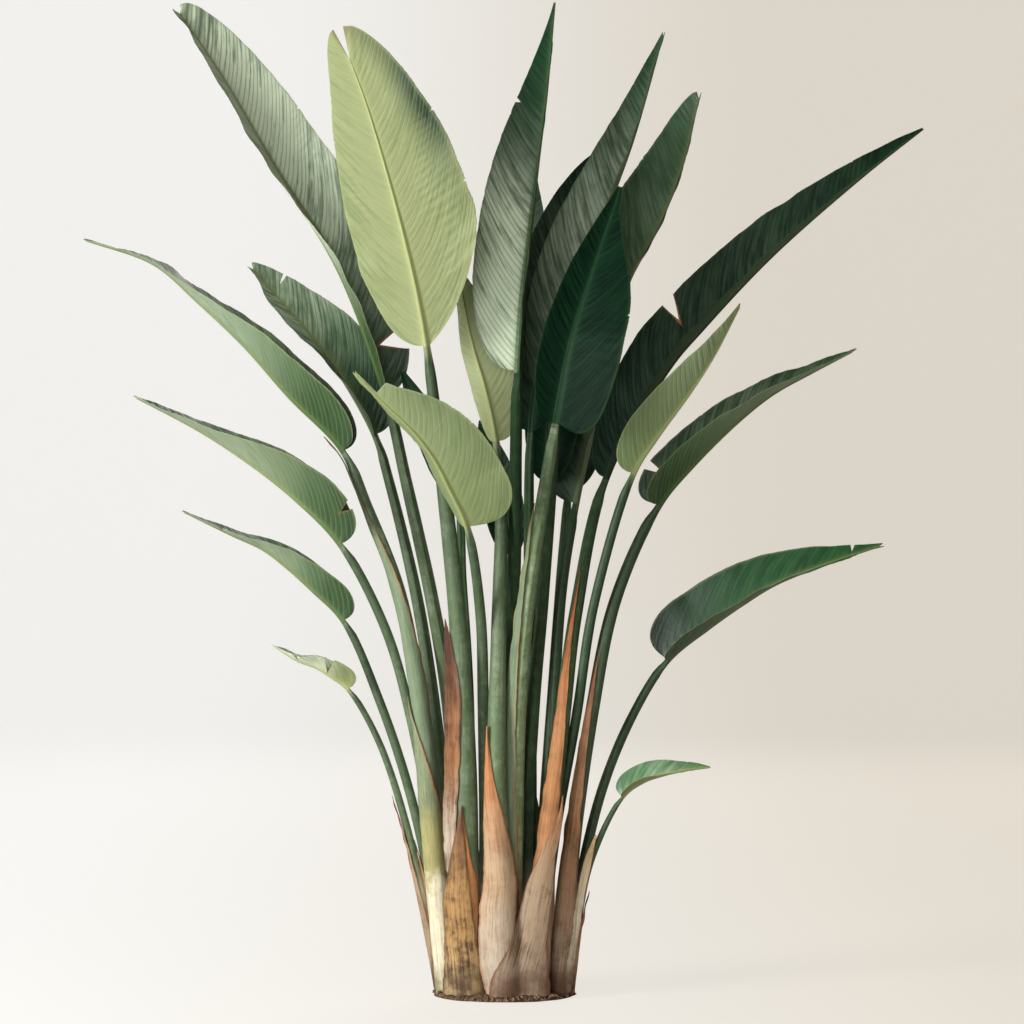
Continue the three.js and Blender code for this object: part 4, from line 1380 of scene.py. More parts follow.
@dataclass(frozen=True)
class SheathFinish:
    """Sheath: long fibres, blots and browner margins, in three colours from its foot to its point.

    turns are the heights, as shares of its own, over which low gives way to middle and middle to
    high. stains is how strong its blots are.
    """

    name: str
    low: Triple
    middle: Triple
    high: Triple
    margin: Triple = srgb(104, 62, 36)
    stain: Triple = srgb(88, 58, 36)
    stains: float = 0.35
    turns: tuple[float, float, float, float] = (0.02, 0.42, 0.45, 1.0)

    def build(self, effects: Effects) -> bpy.types.Material:
        """The material, which reads the mark papery and the surface coordinates.

        Args:
            effects: the shared node groups.

        Returns:
            The material.
        """
        material, g, shader = new_material(self.name)
        across, along = g.surface()
        rise, margin, outer, foot = g.mark("papery")
        fibres = g.effect(effects.fibres, Along=along, Across=across)
        weather = g.effect(effects.mottle, Place=g.place())
        drift = g.maths("MULTIPLY_ADD", g.maths("SUBTRACT", weather["Patch"], 0.5), 0.35)
        g.feed(drift.node.inputs[2], rise)
        colour = g.blend(g.ease(drift, *self.turns[:2]), self.low, self.middle)
        colour = g.blend(g.ease(drift, *self.turns[2:]), colour, self.high)
        colour = g.blend(g.ease(fibres["Streak"], 0.45, 0.8, 0.0, 0.42), colour, self.stain)
        colour = g.blend(g.ease(fibres["Thread"], 0.54, 0.8, 0.0, 0.5), colour, self.low)
        dark_thread = g.ease(fibres["Thread"], 0.44, 0.3, 0.0, 0.55)
        colour = g.blend(dark_thread, colour, self.stain)
        ground = g.ease(weather["Patch"], 0.35, 0.6, 0.25, 0.9)
        colour = g.blend(g.maths("MULTIPLY", g.ease(foot, 0.86, 1.0), ground), colour, self.stain)
        spread = g.maths("MULTIPLY_ADD", weather["Blot"], 0.35)
        drawn = g.maths("MULTIPLY_ADD", fibres["Streak"], 0.3)
        g.feed(drawn.node.inputs[2], g.maths("MULTIPLY", weather["Patch"], 0.35))
        g.feed(spread.node.inputs[2], drawn)
        blot = g.maths("MULTIPLY", g.ease(spread, 0.46, 0.64), self.stains)
        colour = g.blend(blot, colour, self.stain)
        speck = g.ease(weather["Speck"], 0.62, 0.75, 0.0, 0.4)
        colour = g.blend(speck, colour, self.stain)
        streaky = g.ease(fibres["Streak"], 0.3, 0.6, 0.5, 1.0)
        rim = g.maths("MULTIPLY", g.ease(margin, 0.2, 1.0), streaky)
        colour = g.blend(g.maths("MULTIPLY", rim, 0.75), colour, self.margin)
        inside = g.maths("MULTIPLY", g.maths("SUBTRACT", 1.0, outer), 0.5)
        colour = g.blend(inside, colour, self.stain)
        g.feed(shader.inputs["Base Color"], colour)
        g.feed(shader.inputs["Roughness"], g.ease(fibres["Streak"], 0.3, 0.7, 0.62, 0.82))
        height = g.maths("ADD", fibres["Thread"], g.maths("MULTIPLY", fibres["Streak"], 1.6))
        height = g.maths("ADD", height, g.maths("MULTIPLY", fibres["Tick"], 0.25))
        bump = g.add("ShaderNodeBump", {"Height": height, "Distance": 0.0008, "Strength": 0.8})
        g.feed(shader.inputs["Normal"], bump.outputs[0])
        return material


@dataclass(frozen=True)
class SoilFinish:
    """Cut roots and soil: dark crumbs with paler root ends, told apart by the mark soil."""

    name: str = "roots and soil"
    dark: Triple = srgb(58, 42, 30)
    crumb: Triple = srgb(112, 86, 62)
    root: Triple = srgb(150, 120, 88)

    def build(self, effects: Effects) -> bpy.types.Material:
        """The material, which reads the mark soil.

        Args:
            effects: the shared node groups.

        Returns:
            The material.
        """
        material, g, shader = new_material(self.name)
        share = g.mark("soil")[0]
        weather = g.effect(effects.mottle, Place=g.place())
        colour = g.blend(g.ease(weather["Speck"], 0.4, 0.65), self.dark, self.crumb)
        colour = g.blend(g.ease(share, 0.2, 1.0), colour, self.root)
        colour = g.blend(g.ease(weather["Patch"], 0.5, 0.8, 0.0, 0.6), colour, self.dark)
        g.feed(shader.inputs["Base Color"], colour)
        g.feed(shader.inputs["Roughness"], g.ease(weather["Speck"], 0.3, 0.7, 0.8, 0.98))
        bump = g.add("ShaderNodeBump", {"Height": weather["Speck"], "Distance": 0.002, "Strength": 1.0})
        g.feed(shader.inputs["Normal"], bump.outputs[0])
        return material


@dataclass(frozen=True)
class Panel:
    """A square soft light: its place, the length of its side in metres and its power in watts."""

    name: str
    at: Triple
    size: float
    power: float


@dataclass(frozen=True)
class Studio:
    """A pale seamless bowl, soft light from the left and the camera. Lengths are in metres.

    flat is the radius of the floor, turn that of the quarter turn round it and wall the height of
    the wall on top. sides and rings are the points round it, and along each of the three. Where
    the camera sees the paper, most of its light is a glow of its own. Its colour is painted paler
    at the left than at the right, a painted falloff of the light from the left.
    """

    flat: float = 10.0
    turn: float = 6.0
    wall: float = 8.0
    sides: int = 96
    rings: tuple[int, int, int] = (30, 31, 5)
    camera_at: Triple = (0.016, -8.5, 0.965)
    lens: float = 149.4
    panels: tuple[Panel, ...] = (
        Panel("key", (-4.8, -3.9, 2.0), 2.4, 450.0),
        Panel("front", (-1.6, -7.6, 2.6), 3.2, 210.0),
        Panel("back", (1.6, 7.2, 4.8), 4.5, 170.0),
    )
    aim: Triple = (0.0, 0.0, 1.0)
    light: Triple = (1.0, 0.985, 0.955)
    sky: Triple = (1.0, 0.985, 0.96)
    sky_power: float = 0.16
    paper_left: Triple = srgb(249, 248, 245)
    paper_right: Triple = srgb(226, 219, 207)
    paper_glow: float = 0.87

    def bowl(self) -> None:
        """The floor and its wall: flat, then a quarter turn up, then straight up."""
        on_floor, on_turn, on_wall = self.rings
        turn = np.linspace(0.0, np.pi / 2, on_turn + 1)[1:]
        rise = np.linspace(0.0, self.wall, on_wall + 1)[1:]
        floor = np.linspace(0.01, self.flat, on_floor)
        wall = np.full(on_wall, self.flat + self.turn)
        radius = np.concatenate([floor, self.flat + self.turn * np.sin(turn), wall])
        height = np.concatenate([np.zeros(on_floor), self.turn * (1 - np.cos(turn)), self.turn + rise])
        angle = np.linspace(0.0, 2 * np.pi, self.sides, endpoint=False)
        x, y = radius[:, None] * np.cos(angle), radius[:, None] * np.sin(angle)
        points = np.stack([x, y, np.broadcast_to(height[:, None], x.shape)], axis=-1).reshape(-1, 3)
        row = np.arange(len(radius) - 1)[:, None] * self.sides
        here = np.arange(self.sides)[None, :]
        after = (here + 1) % self.sides
        above = row + self.sides
        faces = np.stack([row + here, above + here, above + after, row + after], axis=-1)
        middle = list(range(self.sides))
        mesh = bpy.data.meshes.new("studio_bowl")
        mesh.from_pydata(points.tolist(), [], [*faces.reshape(-1, 4).tolist(), middle])
        mesh.shade_smooth()
        thing = bpy.data.objects.new("studio_bowl", mesh)
        bpy.context.collection.objects.link(thing)
        material, g, shader = new_material("studio paper")
        x = g.add("ShaderNodeSeparateXYZ", {0: g.place()}).outputs[0]
        # Painted falloff: the paper is paler at the left, towards the key light, than at the right.
        paper = g.blend(g.ease(x, -1.6, 1.6), self.paper_left, self.paper_right)
        seen = g.add("ShaderNodeLightPath").outputs["Is Camera Ray"]
        dimmed = g.blend(g.maths("MULTIPLY", seen, 0.8), paper, (0.0, 0.0, 0.0))
        g.feed(shader.inputs["Base Color"], dimmed)
        g.feed(shader.inputs["Emission Color"], g.blend(seen, (0.0, 0.0, 0.0), paper))
        shader.inputs["Emission Strength"].default_value = self.paper_glow
        shader.inputs["Roughness"].default_value = 0.95
        shader.inputs["Specular IOR Level"].default_value = 0.1
        mesh.materials.append(material)

    def lights(self) -> None:
        """The key light at the left, weaker panels in front and behind, and a pale sky."""
        for panel in self.panels:
            lamp = bpy.data.lights.new(panel.name, "AREA")
            lamp.size, lamp.energy, lamp.color = panel.size, panel.power, self.light
            thing = bpy.data.objects.new(panel.name, lamp)
            thing.location = panel.at
            aim = np.array(self.aim) - np.array(panel.at)
            flat = math.hypot(aim[0], aim[1])
            thing.rotation_euler = (math.atan2(flat, -aim[2]), 0.0, math.atan2(-aim[0], aim[1]))
            thing.visible_camera = False
            bpy.context.collection.objects.link(thing)
        world = bpy.data.worlds.new("sky")
        world.use_nodes = True
        sky = world.node_tree.nodes["Background"]
        sky.inputs[0].default_value = (*self.sky, 1.0)
        sky.inputs[1].default_value = self.sky_power
        bpy.context.scene.world = world

    def camera(self) -> None:
        """The camera: level, straight at the clump, with a long lens."""
        lens = bpy.data.cameras.new("camera")
        lens.lens, lens.sensor_width, lens.clip_end = self.lens, 36.0, 200.0
        thing = bpy.data.objects.new("camera", lens)
        thing.location = self.camera_at
        thing.rotation_euler = (math.pi / 2, 0.0, 0.0)
        bpy.context.collection.objects.link(thing)
        bpy.context.scene.camera = thing

    def build(self) -> None:
        """Set up the whole studio."""
        self.camera()
        self.bowl()
        self.lights()
        bpy.context.scene.view_settings.view_transform = "Standard"


LEAVES = (
    Leaf(
        "leaf_left_high",
        foot=(-52, 92),
        stalk=((-88, 92, 300), (-113, 86, 590), (-146, 68, 790), (-198, 50, 1030)),
        base=(-238, 36, 1204),
        blade=((-330, 12, 1450), (-454, -6, 1650), (-566, -20, 1840), (-646, -30, 1958)),
        reach=(20, 17, 10), half=(64, 118), fold=(50, 32), open=(16, 16), curl=(10, 14),
        face=(0.75, -0.6, 0.3), peak=0.45, round=0.42, blunt=(0.8, 0.5), tip=12, point=16,
        tears=(Tear(0.11, 1, 0.8, 44),),
        tone=0.35, bloom=(2.6, 2.3), stem=0.75, ripple=3.5, shine=0.66,
    ),
    Leaf(
        "leaf_pale_tall",
        foot=(-72, -76),
        stalk=((-76, -90, 200), (-76, -100, 470), (-92, -112, 760), (-116, -130, 990)),
        base=(-152, -160, 1292),
        blade=((-180, -184, 1440), (-226, -214, 1620), (-270, -240, 1766), (-300, -256, 1846)),
        reach=(33, 22, 10), half=(146, 110), fold=(8, 8), open=(6, 6), curl=(-12, 10),
        face=(0.22, 0.95, 0.12), peak=0.32, round=0.42, blunt=(0.5, 0.56), lobe=(0.8, 0.05), tip=10, point=62,
        tone=1.0, bloom=(0, 0), stem=0.45, ripple=3.0, shade=(1.9, 0.0), shine=0.72, spread=0.24,
    ),
    Leaf(
        "leaf_left_upper",
        foot=(-112, -22),
        stalk=((-140, -34, 300), (-168, -42, 590), (-210, -40, 810), (-274, -30, 980)),
        base=(-320, -22, 1088),
        blade=((-426, -14, 1196), (-516, -10, 1296), (-610, -6, 1384), (-700, -4, 1460), (-836, 0, 1508)),
        reach=(25, 21, 9), half=(78, 84), fold=(58, 52), open=(3, 6), curl=(10, 10), face=(0.66, -0.06, 0.74),
        peak=0.2, round=0.4, blunt=(0.9, 0.9), tip=4, point=6,
        tone=0.3, bloom=(0.75, 0.75), stem=0.7, ripple=3,
    ),
    Leaf(
        "leaf_left_inner",
        foot=(-70, 50),
        stalk=((-112, 50, 330), (-148, 60, 620), (-178, 84, 800), (-234, 114, 1030)),
        base=(-262, 118, 1122),
        blade=((-329, 112, 1240), (-373, 106, 1300), (-419, 100, 1354), (-508, 92, 1456)),
        reach=(18, 15, 9), half=(70, 92), fold=(44, 36), open=(10, 14), curl=(8, 12), face=(0.6, -0.62, 0.5),
        peak=0.3, blunt=(0.8, 0.7), tip=9, point=12, tears=(Tear(0.84, 1, 0.5, 8),),
        tone=0.54, bloom=(1.3, 0.8), stem=0.55, ripple=3, shine=0.75,
    ),
    Leaf(
        "leaf_left_middle",
        foot=(-94, 20),
        stalk=((-138, 8, 300), (-187, -6, 560), (-236, -24, 732)),
        base=(-324, -52, 902),
        blade=((-408, -66, 988), (-486, -76, 1050), (-596, -86, 1122), (-726, -96, 1190)),
        reach=(15, 12, 9), half=(88, 80), fold=(60, 56), open=(8, 10), curl=(10, 10), face=(0.6, -0.05, 0.78),
        peak=0.22, round=0.4, blunt=(0.8, 0.8), tip=3, point=8, tears=(Tear(0.1, -1, 0.35, 14),),
        tone=0.45, bloom=(0.7, 0.7), stem=0.5, ripple=3,
    ),
    Leaf(
        "leaf_left_lower",
        foot=(-114, 50),
        stalk=((-148, 50, 220), (-192, 48, 410), (-248, 44, 580)),
        base=(-322, 38, 748),
        blade=((-382, 32, 808), (-436, 28, 856), (-482, 24, 890), (-548, 20, 920), (-640, 14, 964)),
        reach=(15, 11, 8), half=(56, 54), fold=(62, 52), open=(6, 8), curl=(14, 10), face=(0.55, -0.08, 0.82),
        peak=0.16, round=0.36, blunt=(1, 0.9), tip=3, point=6, tears=(Tear(0.78, -1, 0.6, 12),),
        tone=0.35, bloom=(0.7, 0.7), stem=0.4, ripple=2.5,
    ),
    Leaf(
        "leaf_left_small",
        foot=(-129, 14),
        stalk=((-160, 0, 180), (-196, -18, 345), (-250, -36, 510)),
        base=(-310, -48, 614),
        blade=((-342, -54, 638), (-372, -58, 656), (-410, -62, 670), (-458, -68, 700)),
        reach=(10, 9, 6), half=(46, 36), fold=(58, 40), open=(10, 10), curl=(6, 8), face=(0.35, -0.1, 0.92),
        peak=0.22, round=0.36, blunt=(0.8, 0.8), tip=2, point=4,
        tears=(Tear(0.3, -1, 0.9, 12), Tear(0.66, -1, 0.8, 8),),
        tone=0.9, bloom=(2.9, 2.9), stem=0.5, ripple=2,
    ),
    Leaf(
        "leaf_pale_front",
        foot=(-34, -36),
        stalk=((-36, -50, 300), (-41, -70, 580), (-46, -118, 760)),
        base=(-72, -206, 936),
        blade=(
            (-106, -238, 1012), (-136, -262, 1070), (-174, -284, 1120), (-228, -306, 1172),
            (-286, -326, 1232),
        ),
        reach=(17, 13, 9), half=(112, 34), fold=(4, 30), open=(0, 30), curl=(6, 30), face=(0.2, 0.86, 0.46),
        peak=0.16, round=0.36, blunt=(1.05, 0.6), lobe=(-0.1, 0.1), tip=3, point=4, stop=(-1, 0.84),
        tone=0.72, bloom=(0.1, 0.1), stem=0.5, ripple=3, shade=(0.35, 0.0),
    ),
    Leaf(
        # Its tone is at its freshest: partly its own colour, partly painted light on a leaf that lies in
        # shade.
        "leaf_pale_inner",
        foot=(-2, -100),
        stalk=((-8, -104, 200), (-15, -107, 440), (-10, -98, 740), (-6, -66, 960)),
        base=(-16, -44, 1106),
        blade=((-36, -38, 1206), (-60, -30, 1290), (-78, -20, 1370), (-92, -8, 1450)),
        reach=(31, 20, 10), half=(64, 25), fold=(10, 12), open=(6, 8), curl=(0, 6), face=(0.1, 0.97, 0.1),
        tip=3, point=2,
        tone=1.0, bloom=(0.15, 0.15), stem=0.6, ripple=2,
    ),
    Leaf(
        "leaf_left_hidden",
        foot=(-66, -14),
        stalk=((-68, -2, 330), (-72, 10, 620), (-84, 24, 830)),
        base=(-92, 30, 990),
        blade=((-120, 34, 1070), (-156, 36, 1150), (-204, 40, 1246)),
        reach=(15, 13, 8), half=(40, 30), fold=(12, 14), open=(8, 8), curl=(6, 6), face=(0.25, -0.9, 0.3),
        tip=3, point=2,
        tone=0.2, bloom=(0.1, 0.1), stem=0.4, ripple=2,
    ),
    Leaf(
        "leaf_middle_low",
        foot=(-34, 30),
        stalk=((-18, 40, 330), (0, 56, 620), (8, 66, 760)),
        base=(14, 76, 880),
        blade=((2, 84, 970), (-18, 90, 1056), (-46, 96, 1150)),
        reach=(15, 11, 8), half=(44, 36), fold=(14, 16), open=(8, 8), curl=(6, 6), face=(0.1, -0.95, 0.2),
        tip=3, point=2,
        tone=0.1, bloom=(0.05, 0.05), stem=0.4, ripple=2,
    ),
    Leaf(
        "leaf_centre_tall",
        foot=(-12, -2),
        stalk=((0, -14, 330), (12, -32, 640), (22, -50, 890), (24, -60, 1090)),
        base=(27, -72, 1246),
        blade=((36, -84, 1390), (50, -92, 1510), (66, -98, 1650), (84, -104, 1790), (101, -108, 1970)),
        reach=(18, 15, 11), half=(100, 80), fold=(38, 42), open=(34, 42), curl=(12, 4),
        face=(-0.72, -0.68, 0),
        peak=0.28, round=0.44, blunt=(1.15, 1), tip=2, point=2, tears=(Tear(0.7, -1, 0.16, 10),),
        tone=0.6, bloom=(2.3, 0.15), stem=0.12, ripple=2.5, shine=0.2, spread=0.26,
    ),
    Leaf(
        "leaf_centre_back",
        foot=(2, 50),
        stalk=((18, 66, 330), (46, 90, 640), (72, 108, 860)),
        base=(86, 120, 1030),
        blade=((90, 136, 1140), (88, 152, 1250), (84, 170, 1350)),
        reach=(17, 14, 9), half=(46, 60), fold=(16, 14), open=(10, 10), curl=(8, 8), face=(-0.1, -0.95, 0.2),
        tip=3, point=2,
        tone=0.05, bloom=(0, 0), stem=0.2, ripple=2,
    ),
    Leaf(
        "leaf_right_tall",
        foot=(38, 14),
        stalk=((44, 14, 300), (58, 12, 560), (78, 8, 790), (94, 4, 1000)),
        base=(106, 0, 1180),
        blade=((128, -4, 1330), (164, -6, 1460), (210, -8, 1580), (258, -10, 1710), (318, -14, 1916)),
        reach=(18, 14, 10), half=(92, 60), fold=(38, 46), open=(30, 40), curl=(10, 4),
        face=(-0.78, -0.6, 0.15), peak=0.3, blunt=(1, 0.9), tip=3, point=8,
        tone=0.6, bloom=(0.55, 0.35), stem=0.25, ripple=2.5, shine=0.45, spread=0.3,
    ),
    Leaf(
        # Its stalk is at full grey: partly its own waxy bloom, partly painted light on a stalk that lies in
        # shade.
        "leaf_dark_front",
        foot=(16, -40),
        stalk=((16, -58, 250), (23, -80, 540), (42, -118, 760), (72, -156, 960)),
        base=(102, -186, 1140),
        blade=((130, -192, 1290), (156, -178, 1380), (188, -152, 1480), (230, -112, 1606)),
        reach=(23, 22, 11), half=(56, 112), fold=(34, 14), open=(30, 10), curl=(10, -8),
        face=(-0.3, -0.88, 0.3), peak=0.26, round=0.4, blunt=(0.9, 1.5), lobe=(-0.2, -0.45), tip=3, point=2,
        tone=0.0, bloom=(0.0, 0.0), stem=1.0, ripple=2,
    ),
    Leaf(
        "leaf_right_back",
        foot=(84, 14),
        stalk=((90, 40, 330), (102, 84, 620), (118, 112, 820)),
        base=(146, 134, 984),
        blade=(
            (176, 144, 1120), (212, 148, 1290), (252, 148, 1430), (316, 142, 1550), (366, 138, 1680),
            (396, 136, 1806),
        ),
        reach=(18, 14, 10), half=(136, 44), fold=(30, 50), open=(20, 40), curl=(12, 6),
        face=(-0.66, -0.7, 0.2), peak=0.3, blunt=(0.62, 0.8), tip=7, point=12,
        tone=0.45, bloom=(0.3, 0.2), stem=0.2, ripple=3,
    ),
    Leaf(
        "leaf_behind_centre",
        foot=(50, 52),
        stalk=((52, 56, 360), (52, 60, 660), (50, 62, 900)),
        base=(54, 66, 1130),
        blade=((74, 72, 1290), (110, 84, 1440), (148, 94, 1570), (194, 104, 1690)),
        reach=(17, 14, 9), half=(84, 56), fold=(20, 24), open=(10, 12), curl=(8, 8),
        face=(-0.25, -0.93, 0.15), blunt=(0.6, 0.8), tip=3, point=2,
        tone=0.05, bloom=(0.1, 0.1), stem=0.2, ripple=2,
    ),
    Leaf(
        "leaf_right_long",
        foot=(62, -84),
        stalk=((80, -84, 250), (112, -76, 520), (144, -46, 770)),
        base=(204, -8, 1034),
        blade=((330, 18, 1254), (400, 26, 1336), (538, 34, 1480), (722, 40, 1640), (842, 42, 1734)),
        reach=(25, 18, 10), half=(92, 66), fold=(36, 50), open=(22, 44), curl=(8, 6), face=(-0.62, -0.6, 0.5),
        peak=0.32, blunt=(0.85, 0.9), tip=3, point=2, tears=(Tear(0.34, -1, 0.5, 26),),
        tone=0.0, bloom=(0.05, 0.05), stem=0.3, ripple=3,
    ),
    Leaf(
        "leaf_right_pale",
        foot=(62, -28),
        stalk=((98, -38, 300), (144, -52, 560), (178, -74, 780)),
        base=(254, -122, 1042),
        blade=((296, -136, 1108), (366, -150, 1202), (412, -158, 1272), (462, -164, 1366)),
        reach=(18, 11, 9), half=(56, 64), fold=(50, 58), open=(30, 40), curl=(6, 16), face=(-0.76, 0.16, 0.5),
        peak=0.22, round=0.4, blunt=(0.9, 1), tip=4, point=8,
        tone=0.6, bloom=(0.2, 0.2), stem=0.12, ripple=2.5,
    ),
    Leaf(
        "leaf_right_upper",
        foot=(106, -42),
        stalk=((136, -48, 300), (174, -50, 560), (222, -44, 790)),
        base=(308, -34, 980),
        blade=((372, -30, 1056), (470, -26, 1150), (538, -24, 1202), (616, -22, 1244), (694, -20, 1284)),
        reach=(24, 16, 10), half=(68, 66), fold=(50, 58), open=(16, 22), curl=(8, 12),
        face=(-0.66, -0.3, 0.68), peak=0.16, round=0.36, blunt=(0.9, 0.9), lobe=(-0.4, -0.4), tip=7, point=12,
        tears=(Tear(0.12, -1, 0.6, 14),),
        tone=0.15, bloom=(0.36, 0.36), stem=0.2, ripple=2.5,
    ),
    Leaf(
        "leaf_right_middle",
        foot=(120, 30),
        stalk=((152, 32, 220), (198, 34, 410), (260, 28, 560)),
        base=(328, 22, 668),
        blade=((410, 14, 734), (476, 8, 780), (542, 4, 820), (632, 0, 856), (750, -4, 896)),
        reach=(15, 11, 8), half=(86, 60), fold=(40, 46), open=(18, 24), curl=(8, 10), face=(-0.5, -0.5, 0.72),
        peak=0.16, round=0.3, blunt=(0.9, 0.9), lobe=(-0.1, -0.1), tip=4, point=10,
        tears=(Tear(0.88, -1, 0.6, 8),),
        tone=0.3, bloom=(0.05, 0.05), stem=0.2, ripple=2.5,
    ),
    Leaf(
        "leaf_right_small",
        foot=(130, -2),
        stalk=((148, -12, 150), (174, -24, 270)),
        base=(236, -44, 398),
        blade=((276, -50, 428), (316, -56, 442), (362, -62, 452), (408, -66, 458)),
        reach=(10, 8, 5), half=(38, 30), fold=(44, 40), open=(16, 16), curl=(6, 6), face=(-0.3, -0.35, 0.88),
        peak=0.22, round=0.36, tip=2, point=2,
        tone=1.0, bloom=(0.52, 0.52), stem=0.4, ripple=1.5,
    ),
    Leaf(
        "leaf_back_right",
        foot=(72, 88),
        stalk=((84, 124, 330), (104, 186, 640), (118, 232, 840)),
        base=(132, 270, 1010),
        blade=((140, 300, 1130), (146, 326, 1250), (150, 350, 1370), (152, 368, 1490)),
        reach=(19, 15, 9), half=(84, 84), fold=(24, 24), open=(12, 12), curl=(10, 10), face=(0, -0.9, 0.35),
        tip=3, point=3,
        tone=0.2, bloom=(0.2, 0.2), stem=0.3, ripple=3,
    ),
    Leaf(
        "leaf_back_left",
        foot=(6, 108),
        stalk=((8, 146, 330), (14, 202, 640), (20, 242, 940)),
        base=(26, 276, 1250),
        blade=((30, 300, 1370), (36, 326, 1490), (44, 346, 1600), (54, 360, 1710)),
        reach=(19, 15, 9), half=(56, 56), fold=(22, 24), open=(12, 12), curl=(10, 10),
        face=(0.05, -0.92, 0.3), tip=3, point=3,
        tone=0.2, bloom=(0.2, 0.2), stem=0.4, ripple=3,
    ),
)

# Sheaths of older leaves, dried but for the one on the dark leaf in front.
SHEATHS = (
    Sheath("sheath_centre", "leaf_pale_inner", to=520, wrap=118, look=(-0.25, -1), kind=Papery.CREAM),
    Sheath("sheath_mottled", "leaf_pale_tall", to=380, wrap=120, look=(-0.2, -1), kind=Papery.MOTTLED),
    Sheath("sheath_brown_tall", "leaf_left_hidden", to=690, wrap=110, look=(0.2, -1), kind=Papery.RUST),
    Sheath("sheath_orange", "leaf_right_long", to=860, wrap=112, look=(-0.35, -1), kind=Papery.ORANGE),
    Sheath("sheath_rust", "leaf_right_upper", to=700, wrap=116, look=(-0.5, -1), kind=Papery.RUST),
    Sheath("sheath_left_edge", "leaf_left_lower", to=300, wrap=120, look=(-1, -0.5), kind=Papery.TAN),
    Sheath("sheath_left_small", "leaf_left_small", to=400, wrap=120, look=(-1, -0.5), kind=Papery.ROSE),
    Sheath("sheath_right_small", "leaf_right_small", to=200, wrap=115, look=(1, -0.4), kind=Papery.TAN),
    Sheath(
        "sheath_dark_front", "leaf_dark_front", to=980, wrap=100, look=(-0.8, -0.6), kind=Papery.LIVING,
        taper=0.8,
    ),
    Sheath("sheath_back", "leaf_back_left", to=420, wrap=118, look=(0.1, 1), kind=Papery.TAN),
    Sheath("sheath_back_right", "leaf_back_right", to=360, wrap=118, look=(0.4, 1), kind=Papery.CREAM),
    Sheath("sheath_left_back", "leaf_left_high", to=460, wrap=118, look=(-0.6, 1), kind=Papery.TAN),
)

# The darkest leaves, finished in a deep green that is partly their own colour and partly painted shade.
SHADED_DEEP_GREEN = (
    "leaf_dark_front", "leaf_right_long", "leaf_centre_tall", "leaf_right_tall", "leaf_behind_centre",
    "leaf_centre_back", "leaf_back_left", "leaf_back_right", "leaf_middle_low", "leaf_left_hidden",
)

# Thin sheaths grown round the left stalk, one inside the other, that show as slanting seams.
SEAMS = (
    Sheath(
        "grown_sheath_left_low", "leaf_left_upper", to=590, wrap=372, look=(-1, -0.25),
        kind=Papery.SEAMED, taper=1.0, over=0.8, thick=1.2,
    ),
    Sheath(
        "grown_sheath_left_high", "leaf_left_upper", to=1150, wrap=336, look=(-1, -0.25),
        kind=Papery.LIVING, taper=1.0, over=-1.4, thick=0.9,
    ),
)

